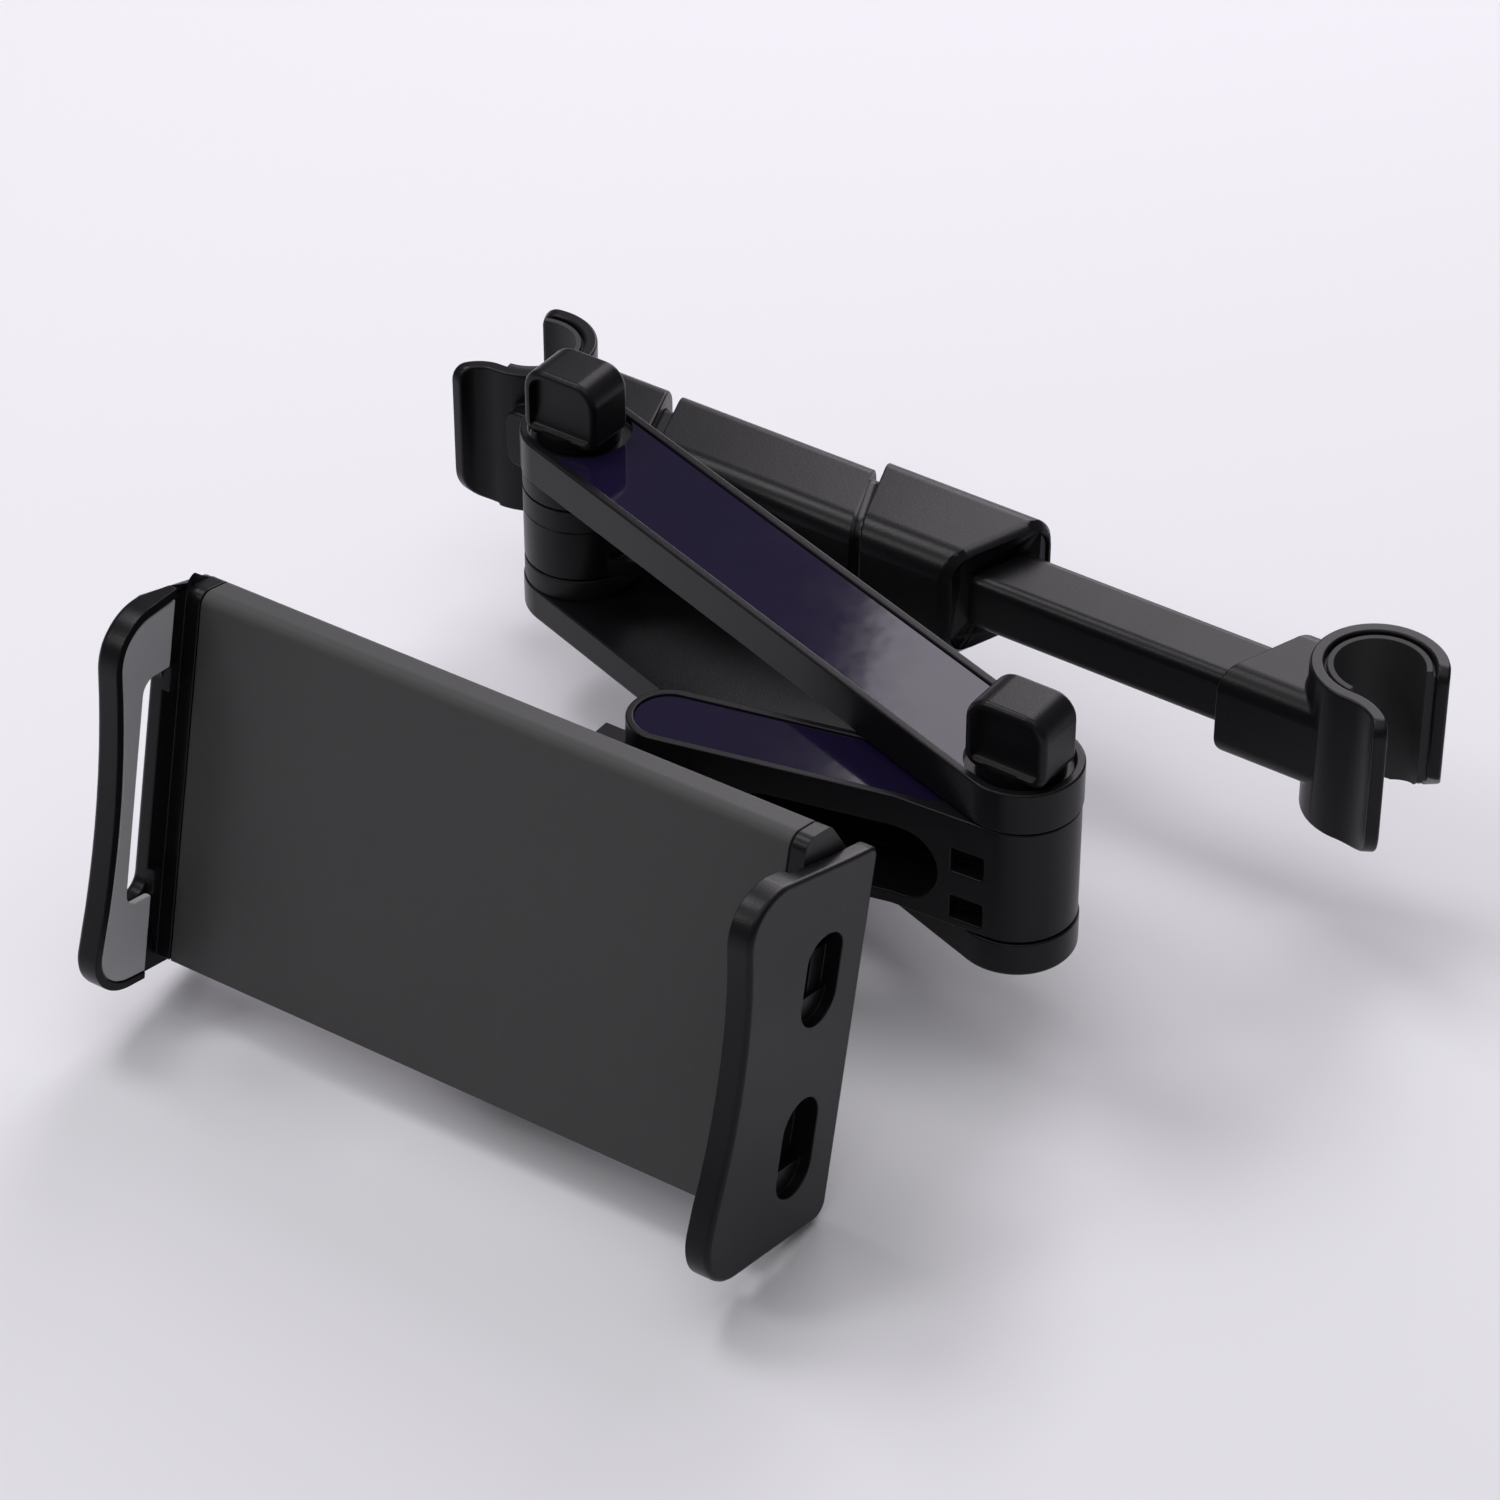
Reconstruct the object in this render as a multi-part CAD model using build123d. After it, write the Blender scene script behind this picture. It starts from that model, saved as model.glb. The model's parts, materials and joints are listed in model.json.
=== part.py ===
from build123d import *
import os
from math import cos, radians, sin, tan

# Headrest phone holder: a telescopic bar with two post hooks, a folding arm and a sprung phone clamp.
# Frame: +X runs along the bar from the left post to the right one, +Y points to the seat back, +Z is up
# along the posts. The origin lies on the left post's axis, at the bar's mid height. Millimetres.

# Posts and the hooks that grip them
POST_RADIUS = 7.0
POST_SPACING = 159.4
LINER_WALL = 1.5
LINER_LIP = 1.0
LINER_STEP = 0.8
LINER_INSET = 0.4
LINER_SETBACK = 5.0
HOOK_WALL = 2.2
HOOK_HEIGHT = 27.0
HOOK_TURN = 270.0
RIGHT_LEG_ANGLE = 17.0
LEFT_LEG_ANGLE = 64.0
LEG_CORNER = 4.5
RIGHT_FLANGE_RADIUS = 9.4
RIGHT_FLANGE_SWEEP = 60.0
LEFT_FLANGE_RADIUS = 5.6
LEFT_FLANGE_SWEEP = 78.0
LOW_CORNER = 7.0
TOP_CORNER = 2.6
LUG_START = 3.2
LUG_END = 14.0
LUG_RISE = 3.0
LUG_ROOT = 2.8
LUG_LOW = -2.5
LUG_TOP = 8.0
LUG_CORNER = 2.5

# Telescopic bar
END_SLANT = 20.0
BLOCK_DEPTH = 19.0
BLOCK_HEIGHT = 16.5
BAR_CORNER = 4.0
LEFT_BLOCK_END = 25.0
RIGHT_BLOCK_REACH = 19.4
BLOCK_STOP = 13.0
TUBE_DEPTH = 18.0
TUBE_HEIGHT = 17.0
TUBE_GAP = 2.6
NECK_STEP = 2.4
BORE_FLOOR = 6.4
COLLAR_WALL = 1.6
COLLAR_START = 67.8
COLLAR_LENGTH = 24.0
COLLAR_BEVEL = 1.4
CAP_THICKNESS = 3.0
CAP_INSET = 0.5
INNER_DEPTH = 12.2
INNER_HEIGHT = 10.0
INNER_CORNER = 2.2
INNER_WALL = 1.5
SLIDE_CLEARANCE = 0.3
SLIDE_TRAVEL = 34.0
PLUG_LENGTH = 6.0
PLUG_HEAD = 1.5
BAR_SPRING_RADIUS = 3.6
BAR_SPRING_WIRE = 0.5
BAR_SPRING_TURNS = 6
BAR_SPRING_SOLID = 10.0
SPRING_END_PLAY = 1.4

# Pivots of the folding arm
ARM_RADIUS = 9.5
ARM_REACH = 110.7
ARM_ANGLE = -18.0
BAR_PIVOT_X = 24.2
BAR_PIVOT_Y = -20.3
RING_RADIUS = 9.3
BOLT_RADIUS = 3.0
BOLT_FIT = 0.08
BOLT_HEAD_FLATS = 9.0
BOLT_HEAD_HEIGHT = 3.0
BOLT_HEAD_INSET = 0.6
BOLT_PLAY = 0.4
STACK_GAP = 0.3
UPPER_PLATE_LOW = 9.6
UPPER_PLATE_THICKNESS = 7.2
LOWER_PLATE_TOP = -11.2
LOWER_PLATE_THICKNESS = 6.0
PLATE_EDGE = 0.8
PLATE_RIM = 1.5
INLAY_THICKNESS = 1.0
INLAY_SINK = 0.4
INLAY_END = 8.6
DISC_THICKNESS = 3.2
LOWER_RING_THICKNESS = 3.9
BRACKET_RING_THICKNESS = 3.8

# Bracket between the first pivot and the bar
TONGUE_THICKNESS = 3.0
TONGUE_ROOT_RADIUS = 7.6
FOOT_START = 33.0
FOOT_LENGTH = 21.0
FOOT_THICKNESS = 3.5
FOOT_TOP = 4.0
SCREW_RADIUS = 1.4
SCREW_HEAD_RADIUS = 2.6
SCREW_HEAD_HEIGHT = 1.6
FOOT_SCREW_INSET = 5.0

# Wing knobs
KNOB_WIDTH = 15.4
KNOB_HEIGHT = 12.1
KNOB_FOOT = 5.8
KNOB_FOOT_HEIGHT = 1.2
KNOB_FACE = 4.0
KNOB_SCOOP_TOP = 5.4
KNOB_BACK = 3.6
KNOB_SCOOP_BOW = 0.3
KNOB_CORNER = 4.2
KNOB_TOP_EDGE = 1.6
KNOB_PLAN_CORNER = 3.0
KNOB_FACE_RIM = 1.1
KNOB_FACE_SINK = 0.8
KNOB_BASE_RADIUS = 6.8
KNOB_BORE_DEPTH = 4.0
KNOB_CLEARANCE = 0.3

# Reach link between the arm's plates
REACH_LENGTH = 56.1
REACH_ANGLE = 193.0
REACH_HALF_WIDTH = 6.6
REACH_RIM = 1.3
REACH_TAPER = 17.0
REACH_INLAY_START = 13.0
POCKET_START = 10.0
POCKET_LENGTH = 34.0
POCKET_HEIGHT = 12.4
POCKET_DROP = 1.6
POCKET_FLOOR = 3.0
POCKET_FLAT = 0.05
WINDOW_NEAR = 2.4
WINDOW_LENGTH = 5.4
WINDOW_HEIGHT = 4.2
WINDOW_RISE = 2.2
WINDOW_DROP = 6.6
WINDOW_DEPTH = 1.2
WINDOW_CORNER = 0.35

# Tilt head behind the clamp
TILT_REACH = 18.6
TILT_SHIFT = -3.4
TILT_DROP = 2.0
TILT_LUG_WIDTH = 9.6
TILT_LUG_RADIUS = 5.6
TILT_PIN_RADIUS = 2.0
EAR_THICKNESS = 3.2
EAR_RADIUS = 6.0
EAR_GAP = 0.25
FORK_BASE = 8.0
HEAD_LENGTH = 13.2
HEAD_FLANGE_RADIUS = 9.5
HEAD_FLANGE_THICKNESS = 3.2
SPIGOT_RADIUS = 5.0
WASHER_RADIUS = 8.0
WASHER_THICKNESS = 1.5
RETAINER_HEAD_RADIUS = 3.2
RETAINER_HEAD_HEIGHT = 1.7
RETAINER_LENGTH = 9.0

# Phone clamp, in its own frame: x across, y back, z up, front face at y = 0
CLAMP_YAW = 0.8
CLAMP_LEAN = 12.7
CLAMP_HALF_WIDTH = 52.1
CLAMP_TOP = 28.4
CLAMP_LOW = -31.4
CLAMP_DEPTH = 16.3
CLAMP_RIM_DEPTH = 6.2
CLAMP_BACK_HALF_HEIGHT = 21.0
CLAMP_WALL = 2.4
CLAMP_TOP_EDGE = 2.2
CLAMP_EDGE = 1.2
COVER_THICKNESS = 3.0
COVER_CLEARANCE = 0.2
COVER_SCREW_INSET_X = 5.7
COVER_SCREW_INSET_Z = 3.4
BOSS_RADIUS = 3.0
RAIL_THICKNESS = 2.0
SPRING_POST_RADIUS = 1.2

# Jaws of the clamp
JAW_SEAM = 0.2
JAW_BASE = 2.6
JAW_WALL = 2.7
JAW_TOP_REACH = 18.4
JAW_WAIST_REACH = 15.9
JAW_LOW_REACH = 17.4
JAW_RISE = 3.0
JAW_DROP = 5.1
JAW_TOP_CORNER = 9.0
JAW_LOW_CORNER = 9.0
JAW_REAR_TOP_CORNER = 9.0
JAW_REAR_LOW_CORNER = 3.0
JAW_RIM_WIDTH = 1.6
JAW_RIM_LIP = 1.3
TONGUE_HALF_HEIGHT = 11.0
JAW_TONGUE_THICKNESS = 4.0
JAW_TONGUE_FRONT = 6.0
JAW_TONGUE_END = 11.0
GUIDE_CLEARANCE = 0.3
JAW_SLOT_HALF_HEIGHT = 19.0
JAW_SLOT_FRONT = 10.4
JAW_SLOT_REAR = 4.0
JAW_SLOT_CORNER = 2.6
JAW_TAB_LENGTH = 4.0
JAW_TAB_WIDTH = 2.0
JAW_TAB_RISE = 1.4
GRIP_WIDTH = 9.2
GRIP_HEIGHT = 16.4
GRIP_DEPTH = 3.8
GRIP_BACK = 5.0
GRIP_UPPER = 8.6
GRIP_LOWER = -20.0
GRIP_STEP_HEIGHT = 4.0
GRIP_STEP_DEPTH = 2.0
PAD_THICKNESS = 1.2
PAD_GAP = 0.2
JAW_SPRING_RADIUS = 2.2
JAW_SPRING_WIRE = 0.4
JAW_SPRING_TURNS = 5
JAW_SPRING_HEIGHT = 6.5
JAW_SPRING_LENGTH = 15.0
JAW_SPRING_SLOT = 3.2

# Heights and places that follow from the sizes above
LINER_OUT = POST_RADIUS + LINER_WALL
HOOK_OUT = LINER_OUT + HOOK_WALL
HOOK_MID = LINER_OUT + HOOK_WALL / 2
HOOK_TOP = HOOK_HEIGHT / 2

TUBE_START = LEFT_BLOCK_END + TUBE_GAP
COLLAR_END = COLLAR_START + COLLAR_LENGTH
CAP_FACE = COLLAR_END - CAP_INSET
TUBE_END = CAP_FACE - CAP_THICKNESS
BORE_START = TUBE_START + BORE_FLOOR
INNER_START = BORE_START + BAR_SPRING_SOLID + SLIDE_TRAVEL
RIGHT_BLOCK_END = POST_SPACING - RIGHT_BLOCK_REACH
INNER_END = POST_SPACING - BLOCK_STOP
NECK_START = BLOCK_STOP
BORE_DEPTH = INNER_DEPTH + 2 * SLIDE_CLEARANCE
BORE_HEIGHT = INNER_HEIGHT + 2 * SLIDE_CLEARANCE
BORE_CORNER = INNER_CORNER + SLIDE_CLEARANCE

UPPER_PLATE_TOP = UPPER_PLATE_LOW + UPPER_PLATE_THICKNESS
LOWER_PLATE_LOW = LOWER_PLATE_TOP - LOWER_PLATE_THICKNESS
REACH_PIVOT_X = BAR_PIVOT_X + ARM_REACH * cos(radians(ARM_ANGLE))
REACH_PIVOT_Y = BAR_PIVOT_Y + ARM_REACH * sin(radians(ARM_ANGLE))
INLAY_FLOOR = UPPER_PLATE_TOP - INLAY_SINK - INLAY_THICKNESS
DISC_LOW = UPPER_PLATE_LOW - DISC_THICKNESS
BRACKET_RING_TOP = DISC_LOW - STACK_GAP
BARREL_TOP = BRACKET_RING_TOP - BRACKET_RING_THICKNESS
LOWER_RING_TOP = LOWER_PLATE_TOP + LOWER_RING_THICKNESS
BARREL_LOW = LOWER_RING_TOP + STACK_GAP
BOLT_LOW = LOWER_PLATE_LOW + BOLT_HEAD_INSET
KNOB_LOW = INLAY_FLOOR + KNOB_CLEARANCE
KNOB_SEAT = UPPER_PLATE_TOP + KNOB_CLEARANCE
BOLT_TOP = KNOB_SEAT + KNOB_BORE_DEPTH - BOLT_PLAY

REACH_TOP = UPPER_PLATE_LOW - STACK_GAP
REACH_LOW = LOWER_PLATE_TOP + STACK_GAP
REACH_MID = (REACH_TOP + REACH_LOW) / 2
REACH_INLAY_FLOOR = REACH_TOP - INLAY_SINK - INLAY_THICKNESS
REACH_END_X = REACH_PIVOT_X + REACH_LENGTH * cos(radians(REACH_ANGLE))
REACH_END_Y = REACH_PIVOT_Y + REACH_LENGTH * sin(radians(REACH_ANGLE))

# The clamp's frame hangs on the tilt pivot in front of the reach link's end
YAW = radians(CLAMP_YAW)
LEAN = radians(CLAMP_LEAN)
ACROSS = Vector(cos(YAW), sin(YAW), 0)
LEVEL_BACK = Vector(-sin(YAW), cos(YAW), 0)
CLAMP_UP = LEVEL_BACK * sin(LEAN) + Vector(0, 0, cos(LEAN))
CLAMP_BACK = CLAMP_UP.cross(ACROSS)
REACH_TIP = Vector(REACH_END_X, REACH_END_Y, REACH_MID - TILT_DROP)
PIVOT = REACH_TIP - LEVEL_BACK * TILT_REACH + ACROSS * TILT_SHIFT
PIVOT_DEPTH = CLAMP_DEPTH + HEAD_LENGTH
FORK_FRAME = Plane(origin=PIVOT, x_dir=ACROSS, z_dir=(0, 0, 1))
CLAMP_FRAME = Plane(origin=PIVOT - CLAMP_BACK * PIVOT_DEPTH, x_dir=ACROSS, z_dir=CLAMP_UP)

COVER_FRONT = CLAMP_DEPTH - COVER_THICKNESS
SPIGOT_END = COVER_FRONT - STACK_GAP
WASHER_FRONT = SPIGOT_END - WASHER_THICKNESS
JAW_START = CLAMP_HALF_WIDTH + JAW_SEAM
JAW_INNER = JAW_START + JAW_BASE
JAW_OUTER = JAW_INNER + JAW_WALL
JAW_TOP = CLAMP_TOP + JAW_RISE
JAW_LOW = CLAMP_LOW - JAW_DROP
HOLLOW_HALF_WIDTH = CLAMP_HALF_WIDTH - CLAMP_WALL
HOLLOW_HALF_HEIGHT = CLAMP_BACK_HALF_HEIGHT - CLAMP_WALL
COVER_SCREW_X = HOLLOW_HALF_WIDTH - COVER_SCREW_INSET_X
COVER_SCREW_Z = HOLLOW_HALF_HEIGHT - COVER_SCREW_INSET_Z
TONGUE_MID = JAW_TONGUE_FRONT + JAW_TONGUE_THICKNESS / 2
SPRING_POST_X = JAW_TONGUE_END - 2 * SPRING_POST_RADIUS


def cylinder(x, y, z_low, z_high, radius):
    """Upright cylinder between two heights."""
    return extrude(Pos(x, y, z_low) * Circle(radius), amount=z_high - z_low)


def ring(x, y, z_low, z_high, outer, inner):
    """Upright ring between two heights."""
    return cylinder(x, y, z_low, z_high, outer) - cylinder(x, y, z_low, z_high, inner)


def rod(x, y, z, length, radius):
    """Cylinder along +Y that starts at a point."""
    return extrude(Plane(origin=(x, y, z), x_dir=(1, 0, 0), z_dir=(0, 1, 0)) * Circle(radius), amount=length)


def block(x_low, x_high, y_low, y_high, z_low, z_high):
    """Box given by its limits."""
    size = Box(x_high - x_low, y_high - y_low, z_high - z_low)
    return Pos((x_low + x_high) / 2, (y_low + y_high) / 2, (z_low + z_high) / 2) * size


def coil(start, axis, length, radius, wire, turns):
    """Round-wire spring of a given length along an axis."""
    path = Helix(pitch=length / turns, height=length, radius=radius, center=start, direction=axis)
    section = Plane(origin=path @ 0, z_dir=path % 0) * RegularPolygon(wire, 6)
    return sweep(section, path=path, is_frenet=True)


def sector(centre_y, inner, outer, start, end):
    """Flat ring sector about a point on the Y axis, from one angle round to another."""
    far = CenterArc((0, centre_y), outer, start, end - start)
    near = CenterArc((0, centre_y), inner, start, end - start)
    return make_face([far, Line(far @ 1, near @ 1), near, Line(near @ 0, far @ 0)])


def tall(face, height):
    """Extrude a plan face to a height that is centred on the bar."""
    return extrude(Pos(0, 0, -height / 2) * face, amount=height)


# Bar

def slant_plane(x, slant):
    """Upright plane across the bar at x, turned about +Z, with its normal towards +X."""
    turn = radians(slant)
    return Plane(origin=(x, 0, 0), x_dir=(-sin(turn), cos(turn), 0), z_dir=(cos(turn), sin(turn), 0))


def bar_length(x_low, x_high, depth, height, corner):
    """Straight rounded bar with square ends."""
    section = Plane.YZ.offset(x_low) * RectangleRounded(depth, height, corner)
    return extrude(section, amount=x_high - x_low)


def bar_piece(x_low, slant_low, x_high, slant_high, depth, height, corner):
    """Straight rounded bar whose two ends are cut at a slant."""
    spare = depth * tan(radians(END_SLANT))
    piece = bar_length(x_low - spare, x_high + spare, depth, height, corner)
    piece = split(piece, slant_plane(x_low, slant_low), keep=Keep.TOP)
    return split(piece, slant_plane(x_high, slant_high), keep=Keep.BOTTOM)


def end_corner(centre_y, angle, radius, corner, top):
    """Cutter that rounds one corner of a strip's free end."""
    turn = radians(angle)
    outward = Vector(cos(turn), sin(turn), 0)
    along = Vector(-sin(turn), cos(turn), 0)
    side = -1 if top else 1
    origin = outward * radius + Vector(0, centre_y, -side * HOOK_TOP)
    frame = Plane(origin=origin, x_dir=along, z_dir=outward * side)
    square = Pos(corner / 2, corner / 2) * Rectangle(corner, corner)
    return extrude(frame * (square - Pos(corner, corner) * Circle(corner)), amount=corner, both=True)


def hook_strip(leg_angle, flange_radius, flange_sweep):
    """S-shaped strip: a curl round the post that turns back into a flared flange."""
    flange_end = 90 - flange_sweep
    centre_y = -(HOOK_MID + flange_radius)
    inner = flange_radius - HOOK_WALL / 2
    curl = tall(sector(0, LINER_OUT, HOOK_OUT, leg_angle, HOOK_TURN), HOOK_HEIGHT)
    curl -= end_corner(0, leg_angle, HOOK_MID, LEG_CORNER, top=False)
    curl -= end_corner(0, leg_angle, HOOK_MID, TOP_CORNER, top=True)
    flange = tall(sector(centre_y, inner, inner + HOOK_WALL, flange_end, 90), HOOK_HEIGHT)
    flange -= end_corner(centre_y, flange_end, flange_radius, LOW_CORNER, top=False)
    flange -= end_corner(centre_y, flange_end, flange_radius, TOP_CORNER, top=True)
    return curl + flange


def hook(strip, block_end, socket):
    """Hook for a post on the origin with its mouth towards +X, and the block that carries it."""
    spare = BLOCK_DEPTH * tan(radians(END_SLANT))
    body = bar_length(-block_end - spare, -HOOK_WALL, BLOCK_DEPTH, BLOCK_HEIGHT, BAR_CORNER)
    body = split(body, slant_plane(-block_end, -END_SLANT), keep=Keep.TOP)
    body -= cylinder(0, 0, -HOOK_TOP, HOOK_TOP, LINER_OUT)
    depth, height, corner = socket
    body -= bar_length(-block_end - spare, -BLOCK_STOP, depth, height, corner)
    return body + strip


def left_lug():
    """Rounded lug on the front of the left block, beside the first pivot."""
    face = -BLOCK_DEPTH / 2
    body = block(LUG_START, LUG_END, face - LUG_RISE, face + LUG_ROOT, LUG_LOW, LUG_TOP)
    body = fillet(body.edges().filter_by(Axis.Y), LUG_CORNER)
    return body - cylinder(0, 0, LUG_LOW, LUG_TOP, LINER_OUT)


def hook_liner(leg_angle):
    """Rubber liner with a stepped edge, which leaves a dark groove beside the strip."""
    start = leg_angle + LINER_SETBACK
    end = HOOK_TURN - LINER_SETBACK
    lip = tall(sector(0, POST_RADIUS, POST_RADIUS + LINER_LIP, start, end), HOOK_HEIGHT - 2 * LINER_INSET)
    height = HOOK_HEIGHT - 2 * LINER_INSET - 2 * LINER_STEP
    return lip + tall(sector(0, POST_RADIUS, LINER_OUT, start, end), height)


def neck_size():
    """Section of the neck that plugs the main tube into the left block."""
    return TUBE_DEPTH - 2 * NECK_STEP, TUBE_HEIGHT - 2 * NECK_STEP, BAR_CORNER - NECK_STEP / 2


def main_tube():
    depth, height, corner = neck_size()
    body = bar_piece(TUBE_START, END_SLANT, TUBE_END, -END_SLANT, TUBE_DEPTH, TUBE_HEIGHT, BAR_CORNER)
    body += bar_length(NECK_START, BORE_START - BORE_FLOOR / 4, depth, height, corner)
    spare = TUBE_DEPTH * tan(radians(END_SLANT))
    body -= bar_length(BORE_START, TUBE_END + spare, BORE_DEPTH, BORE_HEIGHT, BORE_CORNER)
    for x in foot_screw_places():
        body -= rod(x, -TUBE_DEPTH / 2, 0, TUBE_DEPTH / 2, SCREW_RADIUS)
    return body


def tube_collar():
    depth = TUBE_DEPTH + 2 * COLLAR_WALL
    height = TUBE_HEIGHT + 2 * COLLAR_WALL
    corner = BAR_CORNER + COLLAR_WALL / 2
    body = bar_piece(COLLAR_START, END_SLANT, COLLAR_END, -END_SLANT, depth, height, corner)
    mouth = body.faces().sort_by(Axis.X)[-1]
    body = chamfer(mouth.outer_wire().edges(), COLLAR_BEVEL)
    spare = depth * tan(radians(END_SLANT))
    return body - bar_length(COLLAR_START - spare, COLLAR_END + spare, TUBE_DEPTH, TUBE_HEIGHT, BAR_CORNER)


def collar_cap():
    body = bar_piece(TUBE_END, -END_SLANT, CAP_FACE, -END_SLANT, TUBE_DEPTH, TUBE_HEIGHT, BAR_CORNER)
    spare = TUBE_DEPTH * tan(radians(END_SLANT))
    return body - bar_length(TUBE_END - spare, CAP_FACE + spare, BORE_DEPTH, BORE_HEIGHT, BORE_CORNER)


def inner_tube():
    body = bar_length(INNER_START + PLUG_HEAD, INNER_END, INNER_DEPTH, INNER_HEIGHT, INNER_CORNER)
    depth, height, corner = inner_bore()
    return body - bar_length(INNER_START, INNER_END + INNER_WALL, depth, height, corner)


def inner_bore():
    """Section of the hollow in the inner tube."""
    return INNER_DEPTH - 2 * INNER_WALL, INNER_HEIGHT - 2 * INNER_WALL, INNER_CORNER - INNER_WALL / 2


def inner_tube_plug():
    depth, height, corner = inner_bore()
    head = bar_length(INNER_START, INNER_START + PLUG_HEAD, INNER_DEPTH, INNER_HEIGHT, INNER_CORNER)
    return head + bar_length(INNER_START, INNER_START + PLUG_LENGTH, depth, height, corner)


def bar_spring():
    play = BAR_SPRING_WIRE * SPRING_END_PLAY
    length = INNER_START - BORE_START - 2 * play
    start = (BORE_START + play, 0, 0)
    return coil(start, (1, 0, 0), length, BAR_SPRING_RADIUS, BAR_SPRING_WIRE, BAR_SPRING_TURNS)


# Bracket

def foot_screw_places():
    return FOOT_START + FOOT_SCREW_INSET, FOOT_START + FOOT_LENGTH - FOOT_SCREW_INSET


def bar_bracket():
    face = -TUBE_DEPTH / 2
    front = face - FOOT_THICKNESS
    root = Pos(BAR_PIVOT_X, BAR_PIVOT_Y) * Circle(TONGUE_ROOT_RADIUS)
    foot_middle = Pos(FOOT_START + FOOT_LENGTH / 2, face - FOOT_THICKNESS / 2)
    foot_plan = foot_middle * Rectangle(FOOT_LENGTH, FOOT_THICKNESS)
    tongue_plan = make_hull(root.edges() + foot_plan.edges())
    body = cylinder(BAR_PIVOT_X, BAR_PIVOT_Y, BARREL_LOW, BARREL_TOP, RING_RADIUS)
    body += extrude(Pos(0, 0, BARREL_LOW) * tongue_plan, amount=TONGUE_THICKNESS)
    foot = block(FOOT_START, FOOT_START + FOOT_LENGTH, front, face, BARREL_LOW, FOOT_TOP)
    body += fillet(foot.edges().filter_by(Axis.Y).group_by(Axis.Z)[-1], FOOT_THICKNESS / 2)
    body -= cylinder(BAR_PIVOT_X, BAR_PIVOT_Y, BARREL_LOW, BARREL_TOP, BOLT_RADIUS + BOLT_FIT)
    for x in foot_screw_places():
        body -= rod(x, front, 0, FOOT_THICKNESS, SCREW_RADIUS)
    return body


def bracket_screws():
    front = -TUBE_DEPTH / 2 - FOOT_THICKNESS
    length = FOOT_THICKNESS + (TUBE_DEPTH - BORE_DEPTH) / 2
    screws = []
    for x in foot_screw_places():
        head = rod(x, front - SCREW_HEAD_HEIGHT, 0, SCREW_HEAD_HEIGHT, SCREW_HEAD_RADIUS)
        screws.append(head + rod(x, front, 0, length, SCREW_RADIUS))
    return Compound(children=screws)


def bracket_ring():
    hole = BOLT_RADIUS + BOLT_FIT
    return ring(BAR_PIVOT_X, BAR_PIVOT_Y, BARREL_TOP, BRACKET_RING_TOP, RING_RADIUS, hole)


# Folding arm

def arm_plan(radius):
    """Plan of the arm: a slot between its two pivots."""
    middle_x = (BAR_PIVOT_X + REACH_PIVOT_X) / 2
    middle_y = (BAR_PIVOT_Y + REACH_PIVOT_Y) / 2
    return Pos(middle_x, middle_y) * Rot(0, 0, ARM_ANGLE) * SlotCenterToCenter(ARM_REACH, 2 * radius)


def pivots():
    return (BAR_PIVOT_X, BAR_PIVOT_Y), (REACH_PIVOT_X, REACH_PIVOT_Y)


def upper_arm_plate():
    body = extrude(Pos(0, 0, UPPER_PLATE_LOW) * arm_plan(ARM_RADIUS), amount=UPPER_PLATE_THICKNESS)
    body = fillet(body.edges().group_by(Axis.Z)[-1], PLATE_EDGE / 2)
    recess = arm_plan(ARM_RADIUS - PLATE_RIM)
    body -= extrude(Pos(0, 0, INLAY_FLOOR) * recess, amount=UPPER_PLATE_TOP - INLAY_FLOOR)
    for x, y in pivots():
        body -= cylinder(x, y, UPPER_PLATE_LOW, UPPER_PLATE_TOP, BOLT_RADIUS)
    return body


def upper_arm_inlay():
    body = extrude(Pos(0, 0, INLAY_FLOOR) * arm_plan(ARM_RADIUS - PLATE_RIM), amount=INLAY_THICKNESS)
    for x, y in pivots():
        body -= cylinder(x, y, INLAY_FLOOR, UPPER_PLATE_TOP, INLAY_END)
    return body


def bolt_head_plan(x, y):
    return Pos(x, y) * RegularPolygon(BOLT_HEAD_FLATS / 2, 6, major_radius=False)


def lower_arm_plate():
    body = extrude(Pos(0, 0, LOWER_PLATE_LOW) * arm_plan(ARM_RADIUS), amount=LOWER_PLATE_THICKNESS)
    body = fillet(body.edges().group_by(Axis.Z)[0], PLATE_EDGE)
    for x, y in pivots():
        body -= cylinder(x, y, LOWER_PLATE_LOW, LOWER_PLATE_TOP, BOLT_RADIUS)
        pocket = BOLT_HEAD_INSET + BOLT_HEAD_HEIGHT
        body -= extrude(Pos(0, 0, LOWER_PLATE_LOW) * bolt_head_plan(x, y), amount=pocket)
    return body


def friction_ring(z_low, z_high):
    """Ring on the first pivot's bolt that turns with the arm."""
    return ring(BAR_PIVOT_X, BAR_PIVOT_Y, z_low, z_high, RING_RADIUS, BOLT_RADIUS)


def pivot_bolt(x, y):
    head = extrude(Pos(0, 0, BOLT_LOW) * bolt_head_plan(x, y), amount=BOLT_HEAD_HEIGHT)
    return head + cylinder(x, y, BOLT_LOW, BOLT_TOP, BOLT_RADIUS)


def scoop_side(face, foot, low, high):
    """Front line of the knob's side outline: its foot, the scoop over it and the flat face."""
    toe = (-foot, low)
    brow = (-face, KNOB_SCOOP_TOP)
    hollow_y = -face - KNOB_SCOOP_BOW * (foot - face)
    hollow = (hollow_y, low + KNOB_SCOOP_BOW * (KNOB_SCOOP_TOP - low))
    scoop = ThreePointArc(toe, hollow, brow)
    return toe, brow, scoop, (-face, high)


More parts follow.
